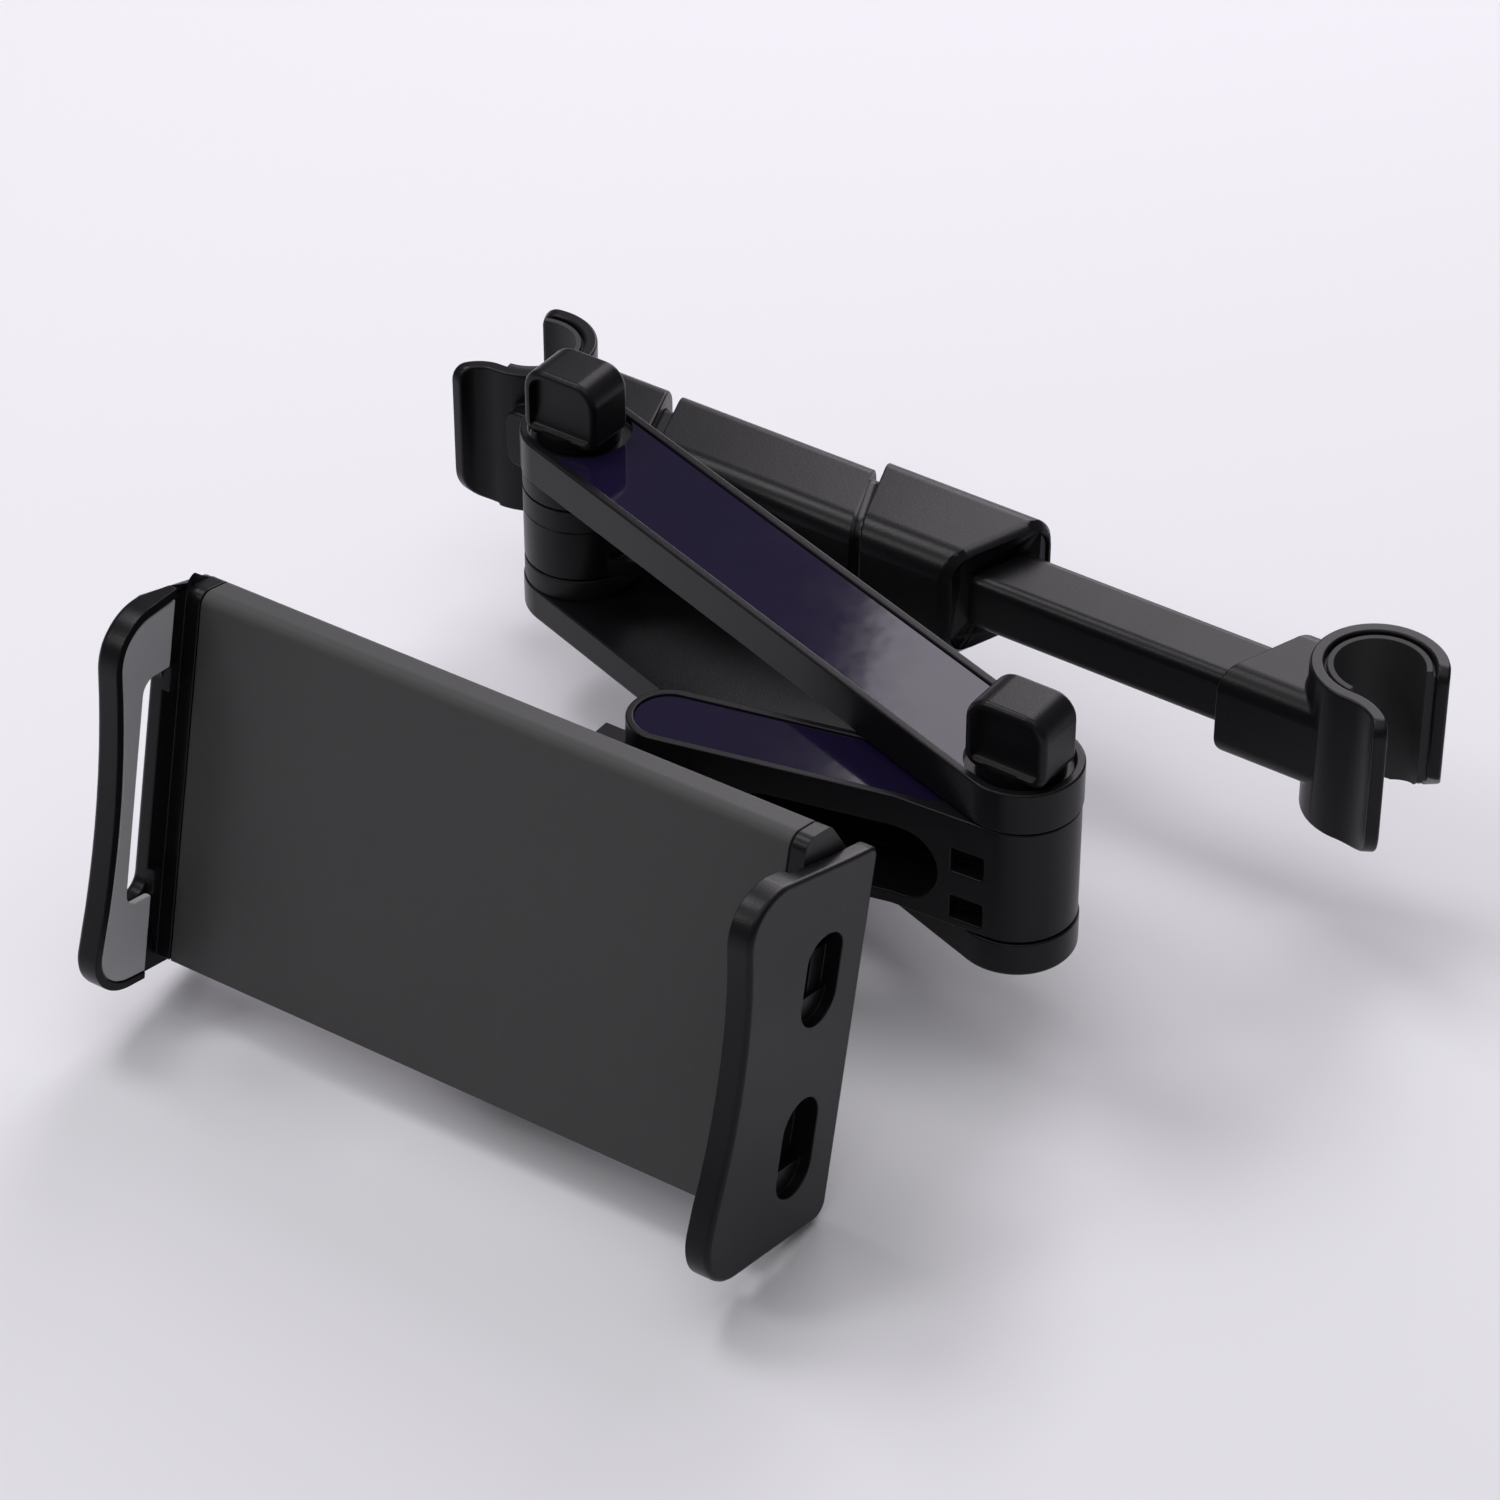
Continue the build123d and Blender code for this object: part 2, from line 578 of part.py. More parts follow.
def knob_wing():
    """Upright wing with rounded shoulders over a foot that flares to the front."""
    toe, brow, scoop, head = scoop_side(KNOB_FACE, KNOB_FOOT, KNOB_FOOT_HEIGHT, KNOB_HEIGHT)
    rest = Polyline(brow, head, (KNOB_BACK, KNOB_HEIGHT), (KNOB_BACK, 0), (-KNOB_FOOT, 0), toe)
    side = make_face([scoop] + rest.edges())
    side = fillet(side.vertices().group_by(Axis.Y)[-1], KNOB_TOP_EDGE)
    wing = extrude(Plane.YZ * side, amount=KNOB_WIDTH / 2, both=True)
    outline = fillet(Rectangle(KNOB_WIDTH, 2 * KNOB_HEIGHT).vertices(), KNOB_CORNER)
    wing &= extrude(Plane.XZ * outline, amount=KNOB_WIDTH, both=True)
    plan = RectangleRounded(KNOB_WIDTH, KNOB_FOOT + KNOB_BACK, KNOB_PLAN_CORNER)
    return wing & extrude(Pos(0, (KNOB_BACK - KNOB_FOOT) / 2) * plan, amount=KNOB_HEIGHT)


def knob_scoop():
    """Cutter for the framed thumb face, which follows the wing's front at a small depth."""
    low = KNOB_FOOT_HEIGHT + KNOB_FACE_RIM / 2
    high = KNOB_HEIGHT - KNOB_FACE_RIM
    ahead = -KNOB_FOOT - KNOB_FACE
    toe, brow, scoop, head = scoop_side(KNOB_FACE - KNOB_FACE_SINK, KNOB_FOOT - KNOB_FACE_SINK, low, high)
    rest = Polyline(brow, head, (ahead, high), (ahead, low), toe)
    cutter = extrude(Plane.YZ * make_face([scoop] + rest.edges()), amount=KNOB_WIDTH, both=True)
    width = KNOB_WIDTH - 2 * KNOB_FACE_RIM
    frame = Pos(0, (low + high) / 2) * RectangleRounded(width, high - low, KNOB_CORNER - KNOB_FACE_RIM)
    return cutter & extrude(Plane.XZ * frame, amount=KNOB_WIDTH, both=True)


def knob(x, y):
    """Wing knob with a framed thumb face on a round base."""
    body = knob_wing() - knob_scoop()
    body += cylinder(0, 0, KNOB_LOW - KNOB_SEAT, KNOB_FOOT_HEIGHT, KNOB_BASE_RADIUS)
    body -= cylinder(0, 0, KNOB_LOW - KNOB_SEAT, KNOB_BORE_DEPTH, BOLT_RADIUS + BOLT_FIT)
    return Pos(x, y, KNOB_SEAT) * body


# Reach link

def reach_frame():
    """Frame on the second pivot with x along the reach link, y to the front and z up."""
    turn = radians(REACH_ANGLE)
    return Plane(origin=(REACH_PIVOT_X, REACH_PIVOT_Y, 0), x_dir=(cos(turn), sin(turn), 0), z_dir=(0, 0, 1))


def reach_plan():
    """Plan of the reach link in its own frame: a barrel that tapers into a slender slot."""
    slot = Pos(REACH_LENGTH / 2, 0) * SlotCenterToCenter(REACH_LENGTH, 2 * REACH_HALF_WIDTH)
    barrel = Circle(RING_RADIUS)
    waist = Pos(REACH_TAPER, 0) * Circle(REACH_HALF_WIDTH)
    return slot + make_hull(barrel.edges() + waist.edges())


def reach_recess():
    """Plan of the sunk field on the reach link's top."""
    width = 2 * (REACH_HALF_WIDTH - REACH_RIM)
    length = REACH_LENGTH - REACH_INLAY_START
    return Pos(REACH_INLAY_START + length / 2, 0) * SlotCenterToCenter(length, width)


def side_pocket(start, length, low, high, depth, corner):
    """Cutter for a rounded pocket in the reach link's front side."""
    ahead = RING_RADIUS + REACH_RIM
    origin = (start + length / 2, ahead, (low + high) / 2)
    frame = Plane(origin=origin, x_dir=(-1, 0, 0), z_dir=(0, 1, 0))
    sink = REACH_HALF_WIDTH - depth - ahead
    return extrude(frame * RectangleRounded(length, high - low, corner), amount=sink)


def tilt_ears():
    """Fork on the link's end whose two ears carry the tilt pin, in the fork's own frame."""
    ears = []
    for side in (-1, 1):
        near = TILT_LUG_WIDTH / 2 + EAR_GAP
        middle = side * (near + EAR_THICKNESS / 2)
        plane = Plane(origin=(middle, 0, 0), x_dir=(0, 1, 0), z_dir=(1, 0, 0))
        arm = Pos(TILT_REACH / 2, 0) * Rectangle(TILT_REACH, 2 * EAR_RADIUS)
        ears.append(extrude(plane * (Circle(EAR_RADIUS) + arm), amount=EAR_THICKNESS / 2, both=True))
    half = fork_half_width()
    base = block(-half, half, TILT_REACH - FORK_BASE, TILT_REACH, -EAR_RADIUS, EAR_RADIUS)
    return ears[0] + ears[1] + base


def tilt_pin_bore(radius, half_length):
    plane = Plane(origin=(0, 0, 0), x_dir=(0, 1, 0), z_dir=(1, 0, 0))
    return extrude(plane * Circle(radius), amount=half_length, both=True)


def fork_half_width():
    return TILT_LUG_WIDTH / 2 + EAR_GAP + EAR_THICKNESS


def reach_link():
    body = extrude(Pos(0, 0, REACH_LOW) * reach_plan(), amount=REACH_TOP - REACH_LOW)
    body -= extrude(Pos(0, 0, REACH_INLAY_FLOOR) * reach_recess(), amount=REACH_TOP - REACH_INLAY_FLOOR)
    body -= cylinder(0, 0, REACH_LOW, REACH_TOP, BOLT_RADIUS + BOLT_FIT)
    pocket_mid = REACH_MID - POCKET_DROP
    depth = 2 * REACH_HALF_WIDTH - POCKET_FLOOR
    low, high = pocket_mid - POCKET_HEIGHT / 2, pocket_mid + POCKET_HEIGHT / 2
    body -= side_pocket(POCKET_START, POCKET_LENGTH, low, high, depth, POCKET_HEIGHT / 2 - POCKET_FLAT)
    for middle in (REACH_MID + WINDOW_RISE, REACH_MID - WINDOW_DROP):
        low, high = middle - WINDOW_HEIGHT / 2, middle + WINDOW_HEIGHT / 2
        body -= side_pocket(WINDOW_NEAR, WINDOW_LENGTH, low, high, WINDOW_DEPTH, WINDOW_CORNER)
    body = reach_frame().location * body
    ears = tilt_ears() - tilt_pin_bore(TILT_PIN_RADIUS, fork_half_width())
    return body + FORK_FRAME.location * ears


def reach_inlay():
    body = extrude(Pos(0, 0, REACH_INLAY_FLOOR) * reach_recess(), amount=INLAY_THICKNESS)
    return reach_frame().location * body


def tilt_pin():
    return FORK_FRAME.location * tilt_pin_bore(TILT_PIN_RADIUS, fork_half_width())


# Tilt head, built in the clamp's frame

def tilt_knuckle():
    flange_back = CLAMP_DEPTH + STACK_GAP + HEAD_FLANGE_THICKNESS
    plane = Plane(origin=(0, PIVOT_DEPTH, 0), x_dir=(0, 1, 0), z_dir=(1, 0, 0))
    lug = extrude(plane * Circle(TILT_LUG_RADIUS), amount=TILT_LUG_WIDTH / 2, both=True)
    half = TILT_LUG_WIDTH / 2
    body = lug + block(-half, half, flange_back, PIVOT_DEPTH, -TILT_LUG_RADIUS, TILT_LUG_RADIUS)
    body += rod(0, CLAMP_DEPTH + STACK_GAP, 0, HEAD_FLANGE_THICKNESS, HEAD_FLANGE_RADIUS)
    body += rod(0, SPIGOT_END, 0, flange_back - SPIGOT_END, SPIGOT_RADIUS)
    body -= Pos(0, PIVOT_DEPTH, 0) * tilt_pin_bore(TILT_PIN_RADIUS + BOLT_FIT, TILT_LUG_WIDTH)
    body -= rod(0, SPIGOT_END, 0, RETAINER_LENGTH - WASHER_THICKNESS, SCREW_RADIUS)
    return body


def swivel_washer():
    plate = rod(0, WASHER_FRONT, 0, WASHER_THICKNESS, WASHER_RADIUS)
    return plate - rod(0, WASHER_FRONT, 0, WASHER_THICKNESS, SCREW_RADIUS)


def swivel_screw():
    head = rod(0, WASHER_FRONT - RETAINER_HEAD_HEIGHT, 0, RETAINER_HEAD_HEIGHT, RETAINER_HEAD_RADIUS)
    return head + rod(0, WASHER_FRONT, 0, RETAINER_LENGTH, SCREW_RADIUS)


# Clamp, in its own frame

def corner_at(face, place):
    """The corner of a flat outline that lies nearest to a point."""
    return face.vertices().sort_by_distance((*place, 0))[0]


def clamp_section():
    """Side section of the clamp: flat front, slim top and bottom edges, a prouder back between them."""
    front_top = (0, CLAMP_TOP)
    rear_top = (CLAMP_RIM_DEPTH, CLAMP_TOP)
    back_top = (CLAMP_DEPTH, CLAMP_BACK_HALF_HEIGHT)
    back_low = (CLAMP_DEPTH, -CLAMP_BACK_HALF_HEIGHT)
    rear_low = (CLAMP_RIM_DEPTH, CLAMP_LOW)
    outline = Polyline((0, CLAMP_LOW), front_top, rear_top, back_top, back_low, rear_low, close=True)
    face = make_face(outline.edges())
    for place in (front_top, rear_top):
        face = fillet(corner_at(face, place), CLAMP_TOP_EDGE)
    for place in (back_top, back_low, rear_low):
        face = fillet(corner_at(face, place), CLAMP_EDGE)
    return face


def across_clamp(face, x_low, x_high):
    """Extrude a side section over a stretch of the clamp's width."""
    return extrude(Plane.YZ.offset(x_low) * face, amount=x_high - x_low)


def cover_places():
    return [(x, z) for x in (-COVER_SCREW_X, COVER_SCREW_X) for z in (-COVER_SCREW_Z, COVER_SCREW_Z)]


def spring_post_places():
    return (-SPRING_POST_X, JAW_SPRING_HEIGHT), (SPRING_POST_X, -JAW_SPRING_HEIGHT)


def clamp_front():
    body = across_clamp(clamp_section(), -CLAMP_HALF_WIDTH, CLAMP_HALF_WIDTH)
    wide, high = HOLLOW_HALF_WIDTH, HOLLOW_HALF_HEIGHT
    body -= block(-wide, wide, CLAMP_WALL, CLAMP_DEPTH, -high, high)
    guide = TONGUE_HALF_HEIGHT + GUIDE_CLEARANCE
    for side in (-1, 1):
        rail_low, rail_high = sorted((side * guide, side * (guide + RAIL_THICKNESS)))
        body += block(-wide, wide, CLAMP_WALL, COVER_FRONT, rail_low, rail_high)
    front = JAW_TONGUE_FRONT - GUIDE_CLEARANCE
    back = JAW_TONGUE_FRONT + JAW_TONGUE_THICKNESS + GUIDE_CLEARANCE
    body -= block(-CLAMP_HALF_WIDTH, CLAMP_HALF_WIDTH, front, back, -guide, guide)
    for x, z in cover_places():
        body += rod(x, CLAMP_WALL, z, COVER_FRONT - CLAMP_WALL, BOSS_RADIUS)
        body -= rod(x, CLAMP_WALL, z, COVER_FRONT, SCREW_RADIUS)
    for x, z in spring_post_places():
        post = TONGUE_MID + JAW_TONGUE_THICKNESS / 2 - CLAMP_WALL
        body += rod(x, CLAMP_WALL, z, post, SPRING_POST_RADIUS)
    return body


def clamp_back_cover():
    half_x = HOLLOW_HALF_WIDTH - COVER_CLEARANCE
    half_z = HOLLOW_HALF_HEIGHT - COVER_CLEARANCE
    body = block(-half_x, half_x, COVER_FRONT, CLAMP_DEPTH, -half_z, half_z)
    body -= rod(0, COVER_FRONT, 0, COVER_THICKNESS, SPIGOT_RADIUS + BOLT_FIT)
    for x, z in cover_places():
        body -= rod(x, COVER_FRONT, z, COVER_THICKNESS, SCREW_RADIUS)
        body -= rod(x, CLAMP_DEPTH - SCREW_HEAD_HEIGHT, z, SCREW_HEAD_HEIGHT, SCREW_HEAD_RADIUS)
    return body


def cover_screws():
    length = COVER_THICKNESS + 2 * BOSS_RADIUS
    screws = []
    for x, z in cover_places():
        head = rod(x, CLAMP_DEPTH - SCREW_HEAD_HEIGHT, z, SCREW_HEAD_HEIGHT, SCREW_HEAD_RADIUS)
        screws.append(head + rod(x, CLAMP_DEPTH - length, z, length, SCREW_RADIUS))
    return Compound(children=screws)


def jaw_outline(inset=0.0):
    """Side outline of a jaw: waisted front edge, round corners, a tail that hangs under the clamp."""
    high = (-JAW_TOP_REACH + inset, JAW_TOP - inset)
    foot = (-JAW_LOW_REACH + inset, JAW_LOW + inset)
    rear_foot = (CLAMP_DEPTH - inset, JAW_LOW + inset)
    rear_high = (CLAMP_DEPTH - inset, JAW_TOP - inset)
    waist = ThreePointArc(high, (-JAW_WAIST_REACH + inset, 0), foot)
    face = make_face([waist] + Polyline(foot, rear_foot, rear_high, high).edges())
    face = fillet(corner_at(face, high), JAW_TOP_CORNER - inset)
    face = fillet(corner_at(face, foot), JAW_LOW_CORNER - inset)
    face = fillet(corner_at(face, rear_high), JAW_REAR_TOP_CORNER - inset)
    return fillet(corner_at(face, rear_foot), JAW_REAR_LOW_CORNER - inset)


def jaw_front_field():
    """Plan of the part of a jaw's wall that stands in front of the clamp, up to the slot's rear edge."""
    return Pos(-JAW_SLOT_REAR - JAW_TOP_REACH / 2, 0) * Rectangle(JAW_TOP_REACH, 4 * JAW_TOP)


def jaw_tongue():
    """Guide tongue of the right jaw, slotted for its spring."""
    back = JAW_TONGUE_FRONT + JAW_TONGUE_THICKNESS
    half = TONGUE_HALF_HEIGHT
    body = block(JAW_TONGUE_END, JAW_INNER, JAW_TONGUE_FRONT, back, -half, half)
    low, high = -JAW_SPRING_HEIGHT - JAW_SPRING_SLOT, -JAW_SPRING_HEIGHT + JAW_SPRING_SLOT
    return body - block(JAW_TONGUE_END, SPRING_POST_X + JAW_SPRING_LENGTH, JAW_TONGUE_FRONT, back, low, high)


def grip_recess(height):
    """Cutter for a finger recess in the jaw's outer face, with a shallower step at its lower end."""
    outline = Pos(GRIP_BACK, height) * Rot(0, 0, 90) * SlotOverall(GRIP_HEIGHT, GRIP_WIDTH)
    deep = across_clamp(outline, JAW_OUTER - GRIP_DEPTH, JAW_OUTER)
    step_top = height - GRIP_HEIGHT / 2 + GRIP_STEP_HEIGHT
    floor = JAW_OUTER - GRIP_DEPTH + GRIP_STEP_DEPTH
    return deep - block(JAW_START, floor, -JAW_TOP_REACH, CLAMP_DEPTH, JAW_LOW, step_top)


def jaw_shell():
    """Foot, wall and lip of the right jaw, with the finger recesses in its outer face."""
    body = across_clamp(clamp_section(), JAW_START, JAW_INNER)
    body += across_clamp(jaw_outline(), JAW_INNER, JAW_OUTER)
    lip = (jaw_outline() - jaw_outline(JAW_RIM_WIDTH)) & jaw_front_field()
    body += across_clamp(lip, JAW_INNER - JAW_RIM_LIP, JAW_INNER)
    for height in (GRIP_UPPER, GRIP_LOWER):
        body -= grip_recess(height)
    return body


def right_jaw():
    return jaw_shell() + jaw_tongue()


def left_jaw():
    """Mirror of the right jaw with a long slot in its wall and the tongue turned over to part the springs."""
    body = jaw_shell() - across_clamp(jaw_slot(), JAW_INNER, JAW_OUTER)
    rear = -JAW_SLOT_REAR + JAW_TAB_WIDTH
    for side in (-1, 1):
        ends = (side * JAW_SLOT_HALF_HEIGHT, side * (JAW_SLOT_HALF_HEIGHT - JAW_TAB_LENGTH))
        body += block(JAW_INNER - JAW_TAB_RISE, JAW_INNER, -JAW_SLOT_REAR, rear, min(ends), max(ends))
    body += mirror(jaw_tongue(), about=Plane.XY)
    return mirror(body, about=Plane.YZ)


def jaw_slot():
    """Outline of the long slot beside the left jaw's foot."""
    width = JAW_SLOT_FRONT - JAW_SLOT_REAR
    slot = RectangleRounded(width, 2 * JAW_SLOT_HALF_HEIGHT, JAW_SLOT_CORNER)
    return Pos(-(JAW_SLOT_FRONT + JAW_SLOT_REAR) / 2, 0) * slot


def jaw_pad():
    """C-shaped rubber pad inside the right jaw's lip, open beside the slot."""
    face = jaw_outline(JAW_RIM_WIDTH + PAD_GAP) & jaw_front_field()
    face -= RectangleRounded(2 * JAW_SLOT_FRONT, 2 * JAW_SLOT_HALF_HEIGHT, JAW_SLOT_CORNER)
    return across_clamp(face, JAW_INNER - PAD_THICKNESS, JAW_INNER)


def jaw_spring(side):
    """Tension spring from the clamp's post to the end of the tongue's slot."""
    play = SPRING_POST_RADIUS + JAW_SPRING_WIRE
    start = (side * (SPRING_POST_X + play), TONGUE_MID, -side * JAW_SPRING_HEIGHT)
    length = JAW_SPRING_LENGTH - play - JAW_SPRING_WIRE * SPRING_END_PLAY
    return coil(start, (side, 0, 0), length, JAW_SPRING_RADIUS, JAW_SPRING_WIRE, JAW_SPRING_TURNS)


def on_clamp(piece):
    return CLAMP_FRAME.location * piece


def pieces():
    right_place = Pos(POST_SPACING, 0, 0)
    inner_socket = (INNER_DEPTH, INNER_HEIGHT, INNER_CORNER)
    left_strip = hook_strip(LEFT_LEG_ANGLE, LEFT_FLANGE_RADIUS, LEFT_FLANGE_SWEEP)
    right_strip = hook_strip(RIGHT_LEG_ANGLE, RIGHT_FLANGE_RADIUS, RIGHT_FLANGE_SWEEP)
    left = mirror(hook(left_strip, LEFT_BLOCK_END, neck_size()), about=Plane.YZ) + left_lug()
    right = right_place * hook(right_strip, RIGHT_BLOCK_REACH, inner_socket)
    return {
        "left_hook": left,
        "left_hook_liner": mirror(hook_liner(LEFT_LEG_ANGLE), about=Plane.YZ),
        "main_tube": main_tube(),
        "tube_collar": tube_collar(),
        "collar_cap": collar_cap(),
        "bar_spring": bar_spring(),
        "inner_tube": inner_tube(),
        "inner_tube_plug": inner_tube_plug(),
        "right_hook": right,
        "right_hook_liner": right_place * hook_liner(RIGHT_LEG_ANGLE),
        "bar_bracket": bar_bracket(),
        "bracket_ring": bracket_ring(),
        "bracket_screws": bracket_screws(),
        "upper_arm_plate": upper_arm_plate(),
        "upper_arm_inlay": upper_arm_inlay(),
        "lower_arm_plate": lower_arm_plate(),
        "upper_friction_disc": friction_ring(DISC_LOW, UPPER_PLATE_LOW),
        "lower_friction_ring": friction_ring(LOWER_PLATE_TOP, LOWER_RING_TOP),
        "bar_pivot_bolt": pivot_bolt(BAR_PIVOT_X, BAR_PIVOT_Y),
        "reach_pivot_bolt": pivot_bolt(REACH_PIVOT_X, REACH_PIVOT_Y),
        "bar_knob": knob(BAR_PIVOT_X, BAR_PIVOT_Y),
        "reach_knob": knob(REACH_PIVOT_X, REACH_PIVOT_Y),
        "reach_link": reach_link(),
        "reach_inlay": reach_inlay(),
        "tilt_pin": tilt_pin(),
        "tilt_knuckle": on_clamp(tilt_knuckle()),
        "swivel_washer": on_clamp(swivel_washer()),
        "swivel_screw": on_clamp(swivel_screw()),
        "clamp_front": on_clamp(clamp_front()),
        "clamp_back_cover": on_clamp(clamp_back_cover()),
        "cover_screws": on_clamp(cover_screws()),
        "left_jaw": on_clamp(left_jaw()),
        "left_jaw_pad": on_clamp(mirror(jaw_pad(), about=Plane.YZ)),
        "left_jaw_spring": on_clamp(jaw_spring(-1)),
        "right_jaw": on_clamp(right_jaw()),
        "right_jaw_pad": on_clamp(jaw_pad()),
        "right_jaw_spring": on_clamp(jaw_spring(1)),
    }


os.makedirs("parts", exist_ok=True)
for name, solid in pieces().items():
    export_step(solid, f"parts/{name}.step")
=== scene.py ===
import json
import math

import bmesh
import bpy
from mathutils import Matrix, Vector
from mathutils.bvhtree import BVHTree

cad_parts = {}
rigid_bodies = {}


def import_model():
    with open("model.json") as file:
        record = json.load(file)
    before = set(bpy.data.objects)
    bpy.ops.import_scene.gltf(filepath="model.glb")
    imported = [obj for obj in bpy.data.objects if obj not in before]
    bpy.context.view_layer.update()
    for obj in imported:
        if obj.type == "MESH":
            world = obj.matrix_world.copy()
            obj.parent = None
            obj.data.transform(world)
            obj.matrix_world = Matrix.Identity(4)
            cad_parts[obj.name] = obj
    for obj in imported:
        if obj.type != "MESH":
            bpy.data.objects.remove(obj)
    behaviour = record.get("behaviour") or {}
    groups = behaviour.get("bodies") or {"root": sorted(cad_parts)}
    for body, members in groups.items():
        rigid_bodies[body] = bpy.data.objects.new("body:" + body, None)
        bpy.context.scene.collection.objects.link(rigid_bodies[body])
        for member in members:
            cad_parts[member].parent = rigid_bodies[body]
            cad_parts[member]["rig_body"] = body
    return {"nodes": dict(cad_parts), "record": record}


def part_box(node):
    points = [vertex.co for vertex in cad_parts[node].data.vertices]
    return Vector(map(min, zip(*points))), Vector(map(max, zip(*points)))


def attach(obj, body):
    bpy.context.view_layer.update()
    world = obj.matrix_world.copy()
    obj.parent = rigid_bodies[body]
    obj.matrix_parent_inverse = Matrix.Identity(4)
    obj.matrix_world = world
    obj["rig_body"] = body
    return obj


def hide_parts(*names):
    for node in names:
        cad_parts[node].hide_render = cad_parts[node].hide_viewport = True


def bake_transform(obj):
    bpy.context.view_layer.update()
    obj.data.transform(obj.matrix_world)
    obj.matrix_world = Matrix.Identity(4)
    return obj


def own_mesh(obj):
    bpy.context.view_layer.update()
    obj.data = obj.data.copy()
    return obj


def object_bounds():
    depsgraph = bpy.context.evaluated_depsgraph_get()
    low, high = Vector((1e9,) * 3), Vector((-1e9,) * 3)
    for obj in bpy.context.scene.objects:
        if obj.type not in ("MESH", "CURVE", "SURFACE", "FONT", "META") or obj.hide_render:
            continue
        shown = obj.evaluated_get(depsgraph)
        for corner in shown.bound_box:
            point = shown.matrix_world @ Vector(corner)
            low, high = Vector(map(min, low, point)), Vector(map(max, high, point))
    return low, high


bl_info = {
    "name": "Headrest phone holder",
    "version": (1, 0, 0),
    "blender": (4, 5, 0),
    "location": "View3D > Sidebar > Holder",
    "description": "Dresses the packed headrest phone holder and sets its studio",
    "category": "Object",
}

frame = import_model()
CAD_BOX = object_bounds()
MM = 0.001

# The clamp's own axes: x across, y back, z up, from the middle of its front face
YAW = math.radians(0.8)
LEAN = math.radians(12.7)
FRONT_MIDDLE = Vector((72.082, -114.549, 3.686))
ACROSS = Vector((math.cos(YAW), math.sin(YAW), 0))
LEVEL_BACK = Vector((-math.sin(YAW), math.cos(YAW), 0))
UPWARD = LEVEL_BACK * math.sin(LEAN) + Vector((0, 0, math.cos(LEAN)))
CLAMP = Matrix((ACROSS, UPWARD.cross(ACROSS), UPWARD)).transposed().to_4x4()
CLAMP.translation = FRONT_MIDDLE * MM

# Edges that turn more than SHARP are rounded, and faces that turn less than FLAT are joined
SHARP = math.radians(50)
FLAT = math.radians(0.5)
EDGE_STEPS = 3

# Distances in metres under which points are one, and lie on a cutting plane
WELD = 1e-6
ON_PLANE = 1e-7

# Groove round the main tube before its collar, in millimetres, and the share of the tube that it leaves
GROOVE_SLANT = math.radians(20)
GROOVE_START = 65.4
GROOVE_END = 67.8
GROOVE_WALL = 0.05
GROOVE_WAIST = 0.86
TUBE_SKIN_Y = 7.0
TUBE_SKIN_Z = 6.5

# Clamp's raised top edge, in millimetres on the clamp's axes
TOP_LOW, TOP_HIGH = 25.5, 28.6
TOP_FRONT, TOP_BACK = -0.2, 11.0
TOP_RISE = 2.4
CLAMP_END = 54.95

# Jaw walls, in millimetres on the clamp's axes
JAW_LIP = 53.3
JAW_LIP_BACK = -0.4
JAW_WALL = 54.85
JAW_FACE = 57.5
JAW_TOP = 31.4
JAW_REAR = 16.3
JAW_TAIL = 36.5
RECESS_FRONT, RECESS_BACK = -0.5, 10.5
RECESS_LOW, RECESS_HIGH = -29.0, 17.5
CORNER_Y, CORNER_Z = 7.3, 22.4
CORNER_STRETCH = 1.34
BEND_START = 10.0
FALL_START = 1.5
TAIL_FRONT, TAIL_BACK = 20.0, 32.0
TAIL_BLEND = 5.0
WAIST_MIDDLE, WAIST_HALF = 1, 25
WAIST_START, WAIST_FULL = 6.0, 12.0

# Bend of each jaw in millimetres: name, side, waist of the front edge, top edge (rise at the front,
# change to the rear, and where that starts and ends), fall of the top's rear, lift of the tail
JAWS = (
    ("left_jaw", -1, 1.0, (0.0, 1.9, -9.0, 0.0), 8.5, 3.0),
    ("right_jaw", 1, 2.2, (-3.6, -1.3, -8.0, 4.0), 1.3, 0.3),
)

# Right hook's free leg: millimetres, and degrees about the right post
RIGHT_POST = 159.4
LEG_TURNS = (-50, 90)
LEG_TOP, LEG_FOOT = 2.0, 13.5
CURL_RISE, CURL_TURNS = 2.3, (-90.0, -50.0)
TIP_RISE, TIP_TURNS = 3.0, (-48.0, -22.0)

# Wing knob, in millimetres from its seat on the pivot's axis
KNOB_HEIGHT = 12.1
KNOB_BASE_RADIUS = 6.8
KNOB_BASE_LAP = 1.2
KNOB_SLAB = (14.0, 9.3, 12.3)
KNOB_SLAB_MIDDLE = (0.6, -1.55, 5.95)
KNOB_TOP_CORNER, KNOB_LOW_CORNER = 3.9, 2.4
KNOB_MID_HEIGHT = 6
KNOB_RIM, KNOB_RIM_WALL = 0.3, 0.25
SCOOP_LOW, SCOOP_HIGH = 1.4, 6.2
SCOOP_LIP, SCOOP_DEPTH = 0.3, 1.3
SCOOP_ROWS = (1.45, 1.6, 1.8, 2.1, 2.5, 3.0, 3.6, 4.3, 5.2, 6.2)

# Rounding of the knob's rims in knob edges, the least turn of a rim, and the steps of the roundings
KNOB_RIM_EDGES = 2.2
KNOB_RIM_TURN = math.radians(60)
KNOB_CORNER_STEPS, KNOB_RIM_STEPS = 8, 4
KNOB_BASE_SIDES = 64

